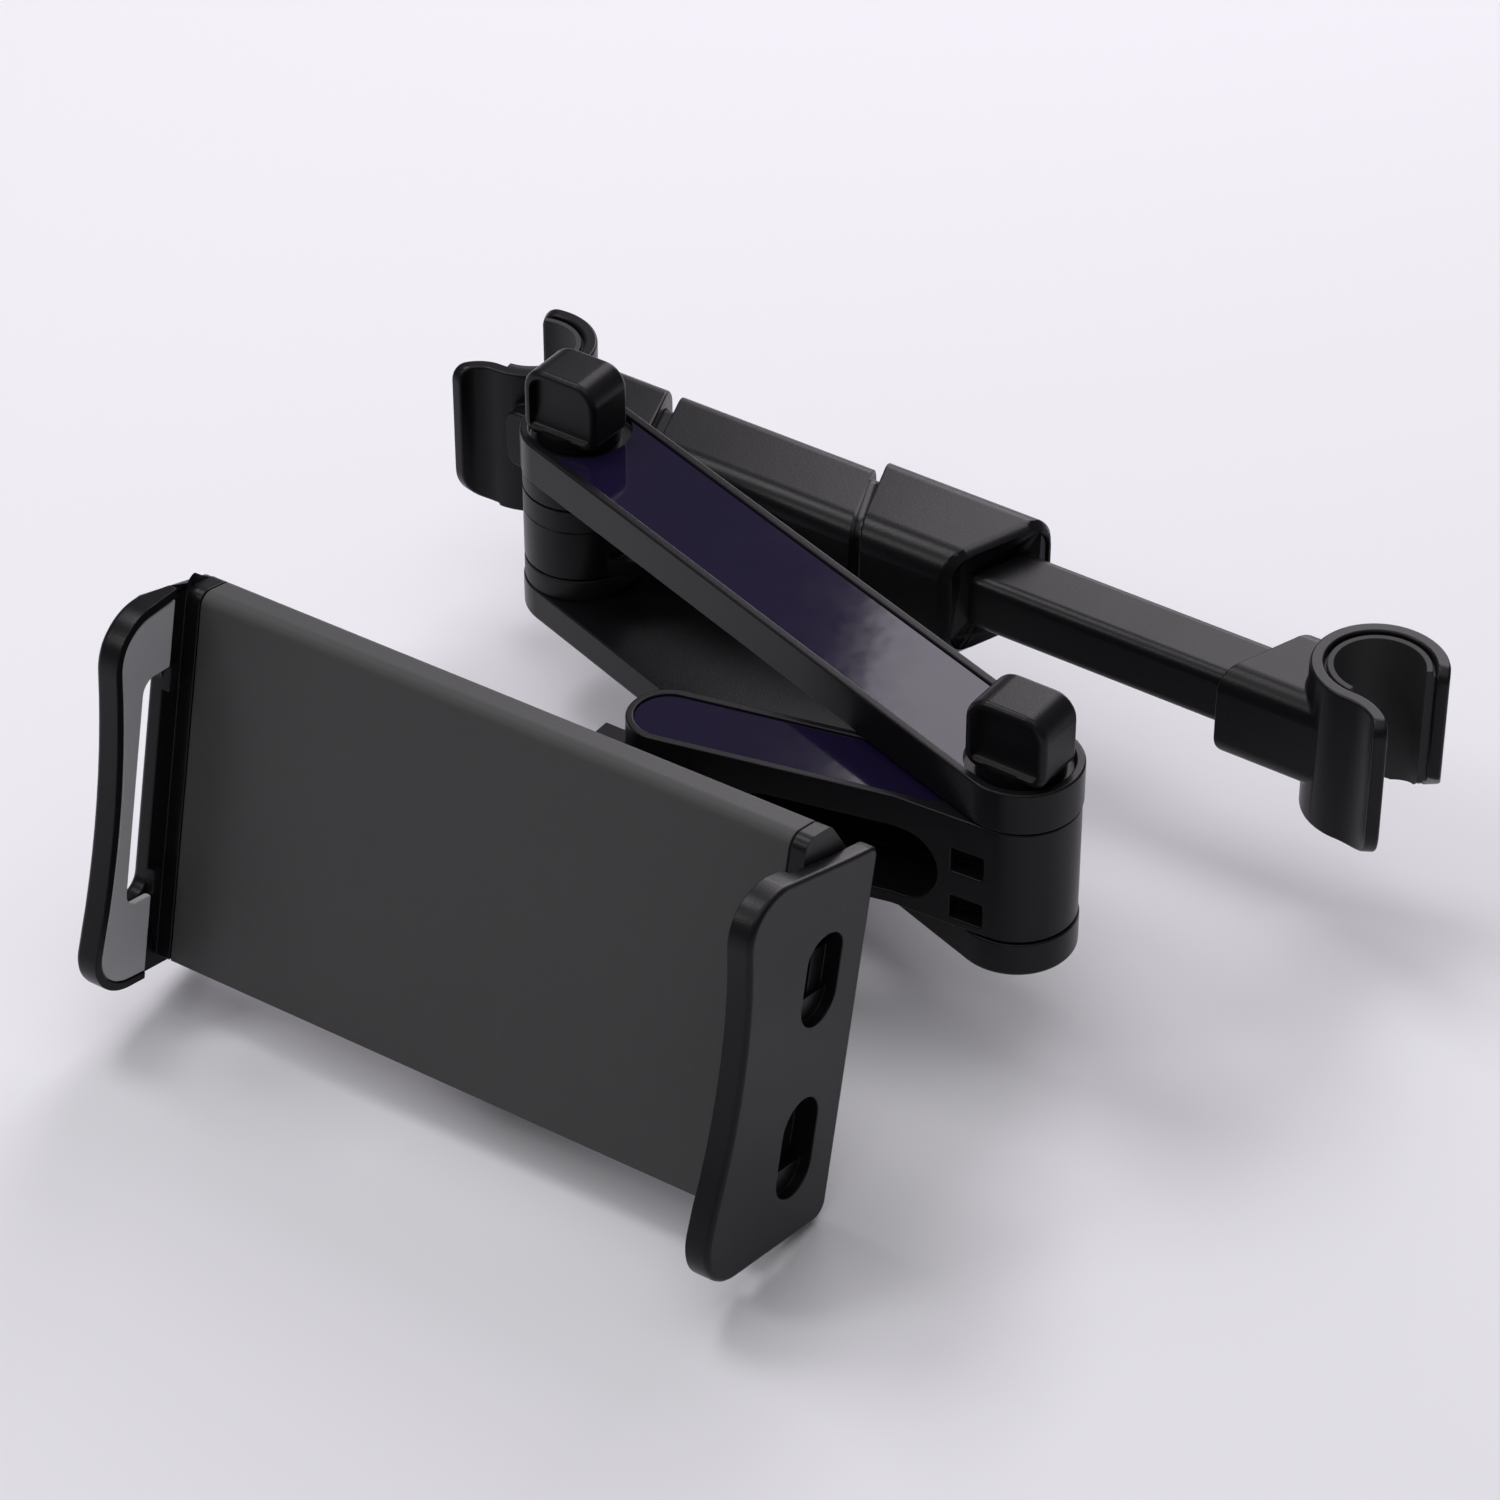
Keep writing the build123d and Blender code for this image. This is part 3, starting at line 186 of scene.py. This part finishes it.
# Moulded plastics: dark colour, light colour, roughness, scale of the grain and its depth in metres
PLASTICS = {
    "black_plastic": ((0.004, 0.0038, 0.0047), (0.007, 0.0067, 0.008), 0.31, 3000.0, 0.00006),
    "clamp_plastic": ((0.050, 0.050, 0.0505), (0.062, 0.062, 0.0625), 0.5, 2400.0, 0.0001),
    "cap_plastic": ((0.055, 0.055, 0.06), (0.07, 0.07, 0.075), 0.5, 2400.0, 0.0001),
    "friction_plastic": ((0.008, 0.0078, 0.009), (0.012, 0.0117, 0.0132), 0.42, 2400.0, 0.0001),
}

# Softboxes: name, place from the part's middle and size in metres, power in watts, colour
SOFTBOXES = (
    ("sky", (0.0, -0.2, 1.2), (1.3, 1.3), 7.0, (1.0, 1.0, 1.0)),
    ("back", (-0.229, 0.893, 0.64), (0.55, 1.1), 7.4, (1.0, 0.94, 1.0)),
    ("strip", (-0.56, 0.06, 1.05), (0.4, 0.3), 3.2, (1.0, 0.96, 1.0)),
    ("front", (-0.5, -0.64, 0.70), (0.24, 0.24), 1.5, (1.0, 1.0, 1.0)),
)
FLOOR_SIZE = 6.0


# Materials

class Wire:
    """A node output that can be used in sums."""

    def __init__(self, shader, socket):
        self.shader = shader
        self.socket = socket

    def math(self, operation, first, second):
        return self.shader.add("ShaderNodeMath", {"operation": operation}, {0: first, 1: second})

    def __add__(self, other):
        return self.math("ADD", self, other)

    def __radd__(self, other):
        return self.math("ADD", other, self)

    def __sub__(self, other):
        return self.math("SUBTRACT", self, other)

    def __rsub__(self, other):
        return self.math("SUBTRACT", other, self)

    def __mul__(self, other):
        return self.math("MULTIPLY", self, other)

    def __rmul__(self, other):
        return self.math("MULTIPLY", other, self)

    def __truediv__(self, other):
        return self.math("DIVIDE", self, other)

    def __rtruediv__(self, other):
        return self.math("DIVIDE", other, self)

    def __pow__(self, other):
        return self.math("POWER", self, other)

    def __rpow__(self, other):
        return self.math("POWER", other, self)

    def feed(self, name):
        """Lead this output into a socket of the principled shader."""
        self.shader.tree.links.new(self.socket, self.shader.surface.inputs[name])


class Shader:
    """A new material with its principled shader and object coordinates."""

    def __init__(self, name):
        self.material = bpy.data.materials.new(name)
        self.material.use_nodes = True
        self.tree = self.material.node_tree
        self.surface = self.tree.nodes["Principled BSDF"]
        self.place = self.add("ShaderNodeTexCoord", {}, {}, "Object")

    def add(self, kind, settings, sockets, output=0):
        """Add a node: its settings first, then the values or links of its sockets."""
        node = self.tree.nodes.new(kind)
        for name, value in settings.items():
            setattr(node, name, value)
        for name, value in sockets.items():
            if isinstance(value, Wire):
                self.tree.links.new(value.socket, node.inputs[name])
            else:
                node.inputs[name].default_value = value
        return Wire(self, node.outputs[output])

    def set(self, **values):
        """Set constants on the principled shader's own sockets."""
        for name, value in values.items():
            socket = name.replace("_", " ").title().replace("Ior", "IOR")
            self.surface.inputs[socket].default_value = value

    def noise(self, scale, detail=2.0, roughness=0.5, stretch=(1, 1, 1)):
        """Noise on the object's own coordinates."""
        place = self.add("ShaderNodeMapping", {}, {"Vector": self.place, "Scale": stretch}, "Vector")
        grain = {"Vector": place, "Scale": scale, "Detail": detail, "Roughness": roughness}
        return self.add("ShaderNodeTexNoise", {}, grain, "Fac")

    def blend(self, factor, first, second):
        """Mix two colours by a wire into the base colour."""
        colours = {0: factor, 6: (*first, 1), 7: (*second, 1)}
        self.add("ShaderNodeMix", {"data_type": "RGBA"}, colours, 2).feed("Base Color")

    def bump(self, height, strength, distance):
        """Fine relief on the surface's normal."""
        relief = {"Height": height, "Strength": strength, "Distance": distance}
        self.add("ShaderNodeBump", {}, relief, "Normal").feed("Normal")


def moulded_plastic(name, dark, light, roughness, grain, depth):
    """Moulded plastic: faint flow marks in the colour, a fine spark-eroded grain, uneven satin."""
    shader = Shader(name)
    flow = shader.noise(26.0, detail=3.0, stretch=(1.0, 1.0, 0.4))
    fine = shader.noise(grain, detail=2.0, roughness=0.6)
    handling = shader.noise(70.0, detail=4.0, roughness=0.6)
    shader.blend(flow * 0.7 + handling * 0.3, dark, light)
    (handling * 0.10 + fine * 0.06 + (roughness - 0.08)).feed("Roughness")
    shader.bump(fine, 0.35, depth)
    shader.set(specular_ior_level=0.165)
    return shader.material


def gloss_inlay(name, dark, light):
    """Deep glossy plastic with a faint orange-peel surface and fine handling haze."""
    shader = Shader(name)
    depth = shader.noise(18.0, detail=2.0)
    haze = shader.noise(160.0, detail=5.0, roughness=0.65)
    shader.blend(depth, dark, light)
    (haze * 0.08 + 0.04).feed("Roughness")
    shader.bump(shader.noise(240.0, detail=1.0), 0.06, 0.0002)
    shader.set(specular_ior_level=0.24, coat_weight=0.06, coat_roughness=0.05)
    return shader.material


def soft_rubber(name, dark, light):
    """Soft rubber: dusty variation and a matte pebbled skin."""
    shader = Shader(name)
    dust = shader.noise(55.0, detail=4.0, roughness=0.6)
    pebble = shader.noise(2600.0, detail=2.0)
    shader.blend(dust, dark, light)
    (dust * 0.12 + 0.56).feed("Roughness")
    shader.bump(pebble, 0.4, 0.0001)
    shader.set(specular_ior_level=0.4)
    return shader.material


def bright_steel(name):
    """Drawn steel with fine lines along its length and slightly uneven brightness."""
    shader = Shader(name)
    line = shader.noise(900.0, detail=3.0, stretch=(1.0, 1.0, 0.05))
    tone = shader.noise(60.0, detail=3.0)
    shader.blend(tone, (0.42, 0.42, 0.44), (0.6, 0.6, 0.62))
    (line * 0.18 + 0.2).feed("Roughness")
    shader.bump(line, 0.2, 0.00005)
    shader.set(metallic=1.0)
    return shader.material


def pale_floor(name, colour):
    """Matte pale floor with the faintest unevenness."""
    shader = Shader(name)
    tone = shader.noise(3.0, detail=2.0)
    shader.blend(tone, tuple(c * 0.995 for c in colour), colour)
    shader.set(roughness=0.9, specular_ior_level=0.0)
    return shader.material


class Finishes:
    """The materials, each made once."""

    made = {}

    @classmethod
    def get(cls, name):
        if name not in cls.made:
            cls.made[name] = cls.make(name)
        return cls.made[name]

    @staticmethod
    def make(name):
        if name == "purple_inlay":
            return gloss_inlay(name, (0.006, 0.0036, 0.017), (0.0095, 0.0058, 0.025))
        if name == "liner_rubber":
            return soft_rubber(name, (0.010, 0.010, 0.011), (0.018, 0.018, 0.019))
        if name == "pad_rubber":
            return soft_rubber(name, (0.40, 0.40, 0.415), (0.46, 0.46, 0.475))
        if name == "steel":
            return bright_steel(name)
        return moulded_plastic(name, *PLASTICS.get(name, PLASTICS["black_plastic"]))


# Pieces

def slot_of(node):
    """The record's material slot of a node."""
    for part in frame["record"]["subparts"]:
        if part["node"] == node:
            return part["material_slot"]
    return "black_plastic"


def paint(node):
    """Give a CAD node that keeps its own shape its material."""
    piece = frame["nodes"][node]
    piece.data.materials.clear()
    piece.data.materials.append(Finishes.get(slot_of(node)))


def add_piece(name, bm, body, slot):
    """Make an object of a mesh, smooth it and let it ride on its body, where it has one."""
    mesh = bpy.data.meshes.new(name)
    for face in bm.faces:
        face.smooth = True
    bm.to_mesh(mesh)
    bm.free()
    mesh.set_sharp_from_angle(angle=SHARP)
    mesh.materials.append(Finishes.get(slot))
    piece = bpy.data.objects.new(name, mesh)
    bpy.context.scene.collection.objects.link(piece)
    normals = piece.modifiers.new("even_normals", "WEIGHTED_NORMAL")
    normals.keep_sharp = True
    if body:
        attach(piece, body)
    return piece


def bevel_edges(bm, edges, radius, segments):
    """Round the given edges."""
    bmesh.ops.bevel(
        bm, geom=edges, offset=radius, offset_type="OFFSET", affect="EDGES",
        segments=segments, profile=0.5, clamp_overlap=False, material=-1,
    )


def round_edges(bm, radius, chosen):
    """Bevel the sharp edges that a test picks, and keep the corners on the moulded surface."""
    moulded = BVHTree.FromBMesh(bm)
    sharp = [e for e in bm.edges if len(e.link_faces) == 2 and e.calc_face_angle() > SHARP]
    bevel_edges(bm, [e for e in sharp if chosen(e)], radius, EDGE_STEPS)
    for vert in bm.verts:
        place, _, _, gap = moulded.find_nearest(vert.co)
        if gap > radius:
            vert.co = place


def every_edge(edge):
    """Test for the plain rounding: any edge."""
    return True


def dress(node, radius, broad=None, cut=None, form=None):
    """Stand-in for a CAD node: its edges rounded, with a cut made before and a form given after."""
    source = frame["nodes"][node]
    bm = bmesh.new()
    bm.from_mesh(source.data)
    bmesh.ops.remove_doubles(bm, verts=bm.verts, dist=WELD)
    bmesh.ops.dissolve_limit(bm, angle_limit=FLAT, verts=bm.verts, edges=bm.edges)
    if cut:
        cut(bm)
    if broad:
        round_edges(bm, *broad)
    round_edges(bm, radius, every_edge)
    if form:
        for vert in bm.verts:
            vert.co = form(vert.co)
    piece = add_piece(node + "_dressed", bm, source["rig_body"], slot_of(node))
    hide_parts(node)


def share(value, low, high):
    """How far a value has come from low to high, between nought and one."""
    return min(max((value - low) / (high - low), 0.0), 1.0)


def copy_spring(node, body):
    """Copy of a spring's solid, riding on a body where one is given."""
    bm = bmesh.new()
    bm.from_mesh(frame["nodes"][node].data)
    bmesh.ops.remove_doubles(bm, verts=bm.verts, dist=WELD)
    piece = add_piece(node + "_coil", bm, body, slot_of(node))
    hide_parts(node)
    return piece


def press_spring(node, body):
    """Compression spring: a copy that rides on its slide's body, with a mesh of its own."""
    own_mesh(copy_spring(node, body))


def pull_spring(node):
    """Extension spring: a copy on no body, with its place baked into its mesh."""
    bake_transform(copy_spring(node, None))


# Forms that the moulded pieces take over their plain solids

def collar_groove(bm):
    """Slanted groove round the main tube, just before its collar."""
    normal = Vector((math.cos(GROOVE_SLANT), math.sin(GROOVE_SLANT), 0))
    edges = (GROOVE_START, GROOVE_START + GROOVE_WALL, GROOVE_END - GROOVE_WALL, GROOVE_END)
    for x in edges:
        geom = bm.verts[:] + bm.edges[:] + bm.faces[:]
        bmesh.ops.bisect_plane(bm, geom=geom, dist=ON_PLANE, plane_co=(x * MM, 0, 0), plane_no=normal)
    for vert in bm.verts:
        along = normal.dot(vert.co) / normal.x
        outside = abs(vert.co.y) > TUBE_SKIN_Y * MM or abs(vert.co.z) > TUBE_SKIN_Z * MM
        if outside and edges[1] * MM - WELD < along < edges[2] * MM + WELD:
            vert.co.y *= GROOVE_WAIST
            vert.co.z *= GROOVE_WAIST


def on_clamp(place):
    """A place in millimetres on the clamp's axes."""
    return CLAMP.inverted() @ place / MM


def raised_top(place):
    """The clamp's top edge stands a little above its solid's."""
    x, y, z = on_clamp(place)
    if TOP_LOW < z < TOP_HIGH and TOP_FRONT < y < TOP_BACK and abs(x) < CLAMP_END:
        z += TOP_RISE
    return CLAMP @ (Vector((x, y, z)) * MM)


def jaw_outer_edge(side):
    """Test for the broad rounding: the jaw's outline, but not its finger recesses."""
    def chosen(edge):
        for vert in edge.verts:
            x, y, z = on_clamp(vert.co)
            recess = RECESS_FRONT < y < RECESS_BACK and RECESS_LOW < z < RECESS_HIGH
            if recess or side * x < JAW_FACE:
                return False
        return True
    return chosen


def jaw_form(side, waist, top, fall, lift):
    """Bend a jaw's wall: waist in the front edge, top that bends to the rear, tail lifted."""
    first, change, start, end = top

    def bend(place):
        x, y, z = on_clamp(raised_top(place))
        if side * x > JAW_WALL or (side * x > JAW_LIP and y < JAW_LIP_BACK):
            out_y, out_z = y - CORNER_Y, z - CORNER_Z
            if side > 0 and out_y > 0 and out_z > 0:
                corner = min(Vector((out_y, out_z)).length / max(out_y, out_z), CORNER_STRETCH)
                y, z = CORNER_Y + out_y * corner, CORNER_Z + out_z * corner
            rise = first + change * share(y, start, end)
            z += share(z, BEND_START, JAW_TOP) * (rise - fall * share(y, FALL_START, JAW_REAR))
            front = share(-y, 0.0, TAIL_BLEND)
            tail = front * share(-z, TAIL_FRONT, JAW_TAIL) + (1 - front) * share(-z, TAIL_BACK, JAW_TAIL)
            z += lift * tail
            bow = max(1 - ((z - WAIST_MIDDLE) / WAIST_HALF) ** 2, 0.0)
            y += waist * bow * share(-y, WAIST_START, WAIST_FULL)
        return CLAMP @ (Vector((x, y, z)) * MM)
    return bend


def short_leg(place):
    """The right hook's free leg ends higher than its curl."""
    x, y, z = place.x / MM - RIGHT_POST, place.y / MM, place.z / MM
    turn = math.degrees(math.atan2(y, x))
    if z < 0 and LEG_TURNS[0] < turn < LEG_TURNS[1]:
        rise = CURL_RISE * share(-turn, *CURL_TURNS) + TIP_RISE * share(-turn, *TIP_TURNS)
        z += share(-z, LEG_TOP, LEG_FOOT) * rise
    return Vector((place.x, place.y, z * MM))


def knob_depth(height):
    """Depth of the thumb face behind the knob's front: flat above, a scooped shelf below."""
    rise = share(height, SCOOP_LOW, SCOOP_HIGH)
    return SCOOP_LIP + SCOOP_DEPTH * math.sqrt(1 - (1 - rise) ** 2)


def knob_slab(bm, pivot, edge):
    """The knob's slab, with rounded corners and then rounded rims."""
    place = Matrix.Translation(pivot + Vector(KNOB_SLAB_MIDDLE) * MM)
    slab = place @ Matrix.Diagonal(Vector(KNOB_SLAB) * MM).to_4x4()
    bmesh.ops.create_cube(bm, size=1.0, matrix=slab)
    along = [e for e in bm.edges if abs(e.verts[0].co.y - e.verts[1].co.y) > MM]
    middle = pivot.z + KNOB_MID_HEIGHT * MM
    for is_top, radius in ((True, KNOB_TOP_CORNER), (False, KNOB_LOW_CORNER)):
        corners = [e for e in along if e.is_valid and (e.verts[0].co.z > middle) == is_top]
        bevel_edges(bm, corners, radius * MM, KNOB_CORNER_STEPS)
    rims = [e for e in bm.edges if e.calc_face_angle(0) > KNOB_RIM_TURN]
    bevel_edges(bm, rims, KNOB_RIM_EDGES * edge, KNOB_RIM_STEPS)


def knob_scoop(bm, seat):
    """Sink the slab's front face inside its rim, row by row."""
    bm.faces.ensure_lookup_table()
    face = min(bm.faces, key=lambda f: f.normal.y * f.calc_area())
    for width in (KNOB_RIM, KNOB_RIM_WALL):
        bmesh.ops.inset_region(bm, faces=[face], thickness=width * MM, use_even_offset=True)
    front = face.verts[0].co.y
    tray = [face]
    for height in SCOOP_ROWS:
        parts = set(tray)
        parts.update(e for f in tray for e in f.edges)
        parts.update(v for f in tray for v in f.verts)
        row = (0, 0, seat + height * MM)
        made = bmesh.ops.bisect_plane(bm, geom=list(parts), dist=ON_PLANE, plane_co=row, plane_no=(0, 0, 1))
        tray = [item for item in made["geom"] if isinstance(item, bmesh.types.BMFace)]
    for vert in {v for f in tray for v in f.verts}:
        vert.co.y = front + knob_depth((vert.co.z - seat) / MM) * MM


def make_knob(node, edge):
    """Wing knob: a rounded slab with a framed, scooped thumb face, on a round base."""
    source = frame["nodes"][node]
    low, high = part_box(node)
    seat = high.z - KNOB_HEIGHT * MM
    pivot = Vector(((low.x + high.x) / 2, high.y - KNOB_BASE_RADIUS * MM, seat))
    bm = bmesh.new()
    knob_slab(bm, pivot, edge)
    knob_scoop(bm, seat)
    foot = Matrix.Translation((pivot.x, pivot.y, (low.z + seat + KNOB_BASE_LAP * MM) / 2))
    bmesh.ops.create_cone(
        bm, cap_ends=True, segments=KNOB_BASE_SIDES, radius1=KNOB_BASE_RADIUS * MM,
        radius2=KNOB_BASE_RADIUS * MM, depth=seat - low.z + KNOB_BASE_LAP * MM, matrix=foot,
    )
    piece = add_piece(node + "_wing", bm, source["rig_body"], slot_of(node))
    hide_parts(node)


# Stage

def make_floor(stage):
    """Level floor just under the part."""
    bm = bmesh.new()
    place = Matrix.Translation((0, 0, CAD_BOX[0].z - stage.floor_drop))
    bmesh.ops.create_grid(bm, x_segments=1, y_segments=1, size=FLOOR_SIZE / 2, matrix=place)
    mesh = bpy.data.meshes.new("floor")
    bm.to_mesh(mesh)
    bm.free()
    mesh.materials.append(pale_floor("pale_floor", tuple(stage.floor_colour)))
    floor = bpy.data.objects.new("floor", mesh)
    bpy.context.scene.collection.objects.link(floor)


def make_world(scene):
    """Dim, even light from all round."""
    scene.world = bpy.data.worlds.new("studio")
    scene.world.use_nodes = True
    back = scene.world.node_tree.nodes["Background"]
    back.inputs["Color"].default_value = (0.93, 0.93, 0.96, 1)
    back.inputs["Strength"].default_value = 0.2


def add_softbox(name, target, offset, size, power, colour):
    """Wide soft light that faces the part."""
    data = bpy.data.lights.new(name, "AREA")
    data.shape = "RECTANGLE"
    data.size, data.size_y = size
    data.energy = power
    data.color = colour
    lamp = bpy.data.objects.new(name, data)
    bpy.context.scene.collection.objects.link(lamp)
    lamp.location = target + Vector(offset)
    lamp.rotation_euler = Vector(offset).to_track_quat("Z", "Y").to_euler()


def make_camera(stage):
    """The photograph's camera."""
    data = bpy.data.cameras.new("camera")
    data.sensor_width = 36.0
    data.lens = stage.lens
    data.clip_start = 0.05
    data.clip_end = 20.0
    camera = bpy.data.objects.new("camera", data)
    bpy.context.scene.collection.objects.link(camera)
    camera.location = stage.camera_place
    level = math.cos(stage.camera_elevation)
    back = Vector((
        math.sin(stage.camera_azimuth) * level,
        -math.cos(stage.camera_azimuth) * level,
        math.sin(stage.camera_elevation),
    ))
    camera.rotation_euler = back.to_track_quat("Z", "Y").to_euler()
    bpy.context.scene.camera = camera


# Settings

class HolderSettings(bpy.types.PropertyGroup):
    bar_edge: bpy.props.FloatProperty(
        name="Bar edge", description="Rounding of the bar's edges", default=0.35 * MM, unit="LENGTH")
    hook_edge: bpy.props.FloatProperty(
        name="Hook edge", description="Rounding of the hooks' edges", default=0.45 * MM, unit="LENGTH")
    arm_edge: bpy.props.FloatProperty(
        name="Arm edge", description="Rounding of the arm's edges", default=0.3 * MM, unit="LENGTH")
    knob_edge: bpy.props.FloatProperty(
        name="Knob edge", description="Rounding of the knobs' edges", default=0.45 * MM, unit="LENGTH")
    jaw_edge: bpy.props.FloatProperty(
        name="Jaw edge", description="Rounding of the jaws' edges", default=0.9 * MM, unit="LENGTH")


class StageSettings(bpy.types.PropertyGroup):
    camera_place: bpy.props.FloatVectorProperty(
        name="Camera place", description="Where the camera stands",
        default=(0.451325, -0.592478, 0.489879), subtype="TRANSLATION", unit="LENGTH")
    camera_azimuth: bpy.props.FloatProperty(
        name="Azimuth", description="Camera's turn about the upright", default=math.radians(34.5415),
        subtype="ANGLE")
    camera_elevation: bpy.props.FloatProperty(
        name="Elevation", description="Camera's height angle", default=math.radians(37.0188),
        subtype="ANGLE")
    lens: bpy.props.FloatProperty(name="Lens", description="Focal length in millimetres", default=128.15)
    floor_drop: bpy.props.FloatProperty(
        name="Floor drop", description="Gap between the part and the floor", default=1.0 * MM,
        unit="LENGTH")
    floor_colour: bpy.props.FloatVectorProperty(
        name="Floor colour", description="Colour of the floor", default=(0.77, 0.765, 0.80),
        subtype="COLOR")


# Operators

class HOLDER_OT_bar(bpy.types.Operator):
    """Dress the telescopic bar, its collar and the pivot bracket"""

    bl_idname = "holder.bar"
    bl_label = "Bar"

    def execute(self, context):
        edge = context.scene.holder.bar_edge
        dress("main_tube", edge, cut=collar_groove)
        for node in ("tube_collar", "collar_cap", "inner_tube", "bar_bracket"):
            dress(node, edge)
        for node in ("bracket_ring", "bracket_screws", "inner_tube_plug"):
            paint(node)
        press_spring("bar_spring", "bar")
        return {"FINISHED"}


class HOLDER_OT_hooks(bpy.types.Operator):
    """Dress the two post hooks and their liners"""

    bl_idname = "holder.hooks"
    bl_label = "Hooks"

    def execute(self, context):
        edge = context.scene.holder.hook_edge
        liner_edge = edge / 3
        for side, form in (("left", None), ("right", short_leg)):
            dress(side + "_hook", edge, form=form)
            dress(side + "_hook_liner", liner_edge, form=form)
        return {"FINISHED"}


class HOLDER_OT_arm(bpy.types.Operator):
    """Dress the arm's plates, inlay, rings and bolts"""

    bl_idname = "holder.arm"
    bl_label = "Arm"

    def execute(self, context):
        edge = context.scene.holder.arm_edge
        for node in ("upper_arm_plate", "lower_arm_plate", "upper_friction_disc", "lower_friction_ring"):
            dress(node, edge)
        inlay_edge = edge / 2
        dress("upper_arm_inlay", inlay_edge)
        for node in ("bar_pivot_bolt", "reach_pivot_bolt"):
            paint(node)
        return {"FINISHED"}


class HOLDER_OT_knobs(bpy.types.Operator):
    """Make the two wing knobs"""

    bl_idname = "holder.knobs"
    bl_label = "Knobs"

    def execute(self, context):
        for node in ("bar_knob", "reach_knob"):
            make_knob(node, context.scene.holder.knob_edge)
        return {"FINISHED"}


class HOLDER_OT_reach(bpy.types.Operator):
    """Dress the reach link, its inlay and the tilt head behind the clamp"""

    bl_idname = "holder.reach"
    bl_label = "Reach link"

    def execute(self, context):
        edge = context.scene.holder.arm_edge
        for node in ("reach_link", "tilt_knuckle"):
            dress(node, edge)
        inlay_edge = edge / 2
        dress("reach_inlay", inlay_edge)
        for node in ("tilt_pin", "swivel_washer", "swivel_screw"):
            paint(node)
        return {"FINISHED"}


class HOLDER_OT_clamp(bpy.types.Operator):
    """Dress the clamp's shell, cover and jaws"""

    bl_idname = "holder.clamp"
    bl_label = "Clamp"

    def execute(self, context):
        edge = context.scene.holder.jaw_edge
        seam = edge / 5
        dress("clamp_front", seam, form=raised_top)
        dress("clamp_back_cover", seam)
        pad_edge = edge / 3
        for name, side, *bend in JAWS:
            form = jaw_form(side, *bend)
            dress(name, seam, broad=(edge, jaw_outer_edge(side)), form=form)
            dress(name + "_pad", pad_edge, form=form)
        pull_spring("left_jaw_spring")
        pull_spring("right_jaw_spring")
        paint("cover_screws")
        return {"FINISHED"}


class HOLDER_OT_stage(bpy.types.Operator):
    """Set the floor, the soft light and the camera"""

    bl_idname = "holder.stage"
    bl_label = "Stage"

    def execute(self, context):
        stage = context.scene.holder_stage
        make_floor(stage)
        make_world(context.scene)
        middle = (CAD_BOX[0] + CAD_BOX[1]) / 2
        for name, offset, size, power, colour in SOFTBOXES:
            add_softbox(name, middle, offset, size, power, colour)
        make_camera(stage)
        context.scene.view_settings.view_transform = "Standard"
        return {"FINISHED"}


# Panel

class HOLDER_PT_panel(bpy.types.Panel):
    """Sizes of the rounded edges and the studio's settings"""

    bl_idname = "HOLDER_PT_panel"
    bl_label = "Headrest phone holder"
    bl_space_type = "VIEW_3D"
    bl_region_type = "UI"
    bl_category = "Holder"

    def draw(self, context):
        for group in (context.scene.holder, context.scene.holder_stage):
            for name in group.__annotations__:
                self.layout.prop(group, name)
        for operator in OPERATORS:
            self.layout.operator(operator.bl_idname)


OPERATORS = (
    HOLDER_OT_bar,
    HOLDER_OT_hooks,
    HOLDER_OT_arm,
    HOLDER_OT_knobs,
    HOLDER_OT_reach,
    HOLDER_OT_clamp,
    HOLDER_OT_stage,
)
CLASSES = (HolderSettings, StageSettings, *OPERATORS, HOLDER_PT_panel)


def register():
    for item in CLASSES:
        bpy.utils.register_class(item)
    bpy.types.Scene.holder = bpy.props.PointerProperty(type=HolderSettings)
    bpy.types.Scene.holder_stage = bpy.props.PointerProperty(type=StageSettings)


def unregister():
    del bpy.types.Scene.holder_stage
    del bpy.types.Scene.holder
    for item in reversed(CLASSES):
        bpy.utils.unregister_class(item)


def main():
    """Register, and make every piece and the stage."""
    register()
    bpy.ops.holder.bar()
    bpy.ops.holder.hooks()
    bpy.ops.holder.arm()
    bpy.ops.holder.knobs()
    bpy.ops.holder.reach()
    bpy.ops.holder.clamp()
    bpy.ops.holder.stage()


if __name__ == "__main__":
    main()
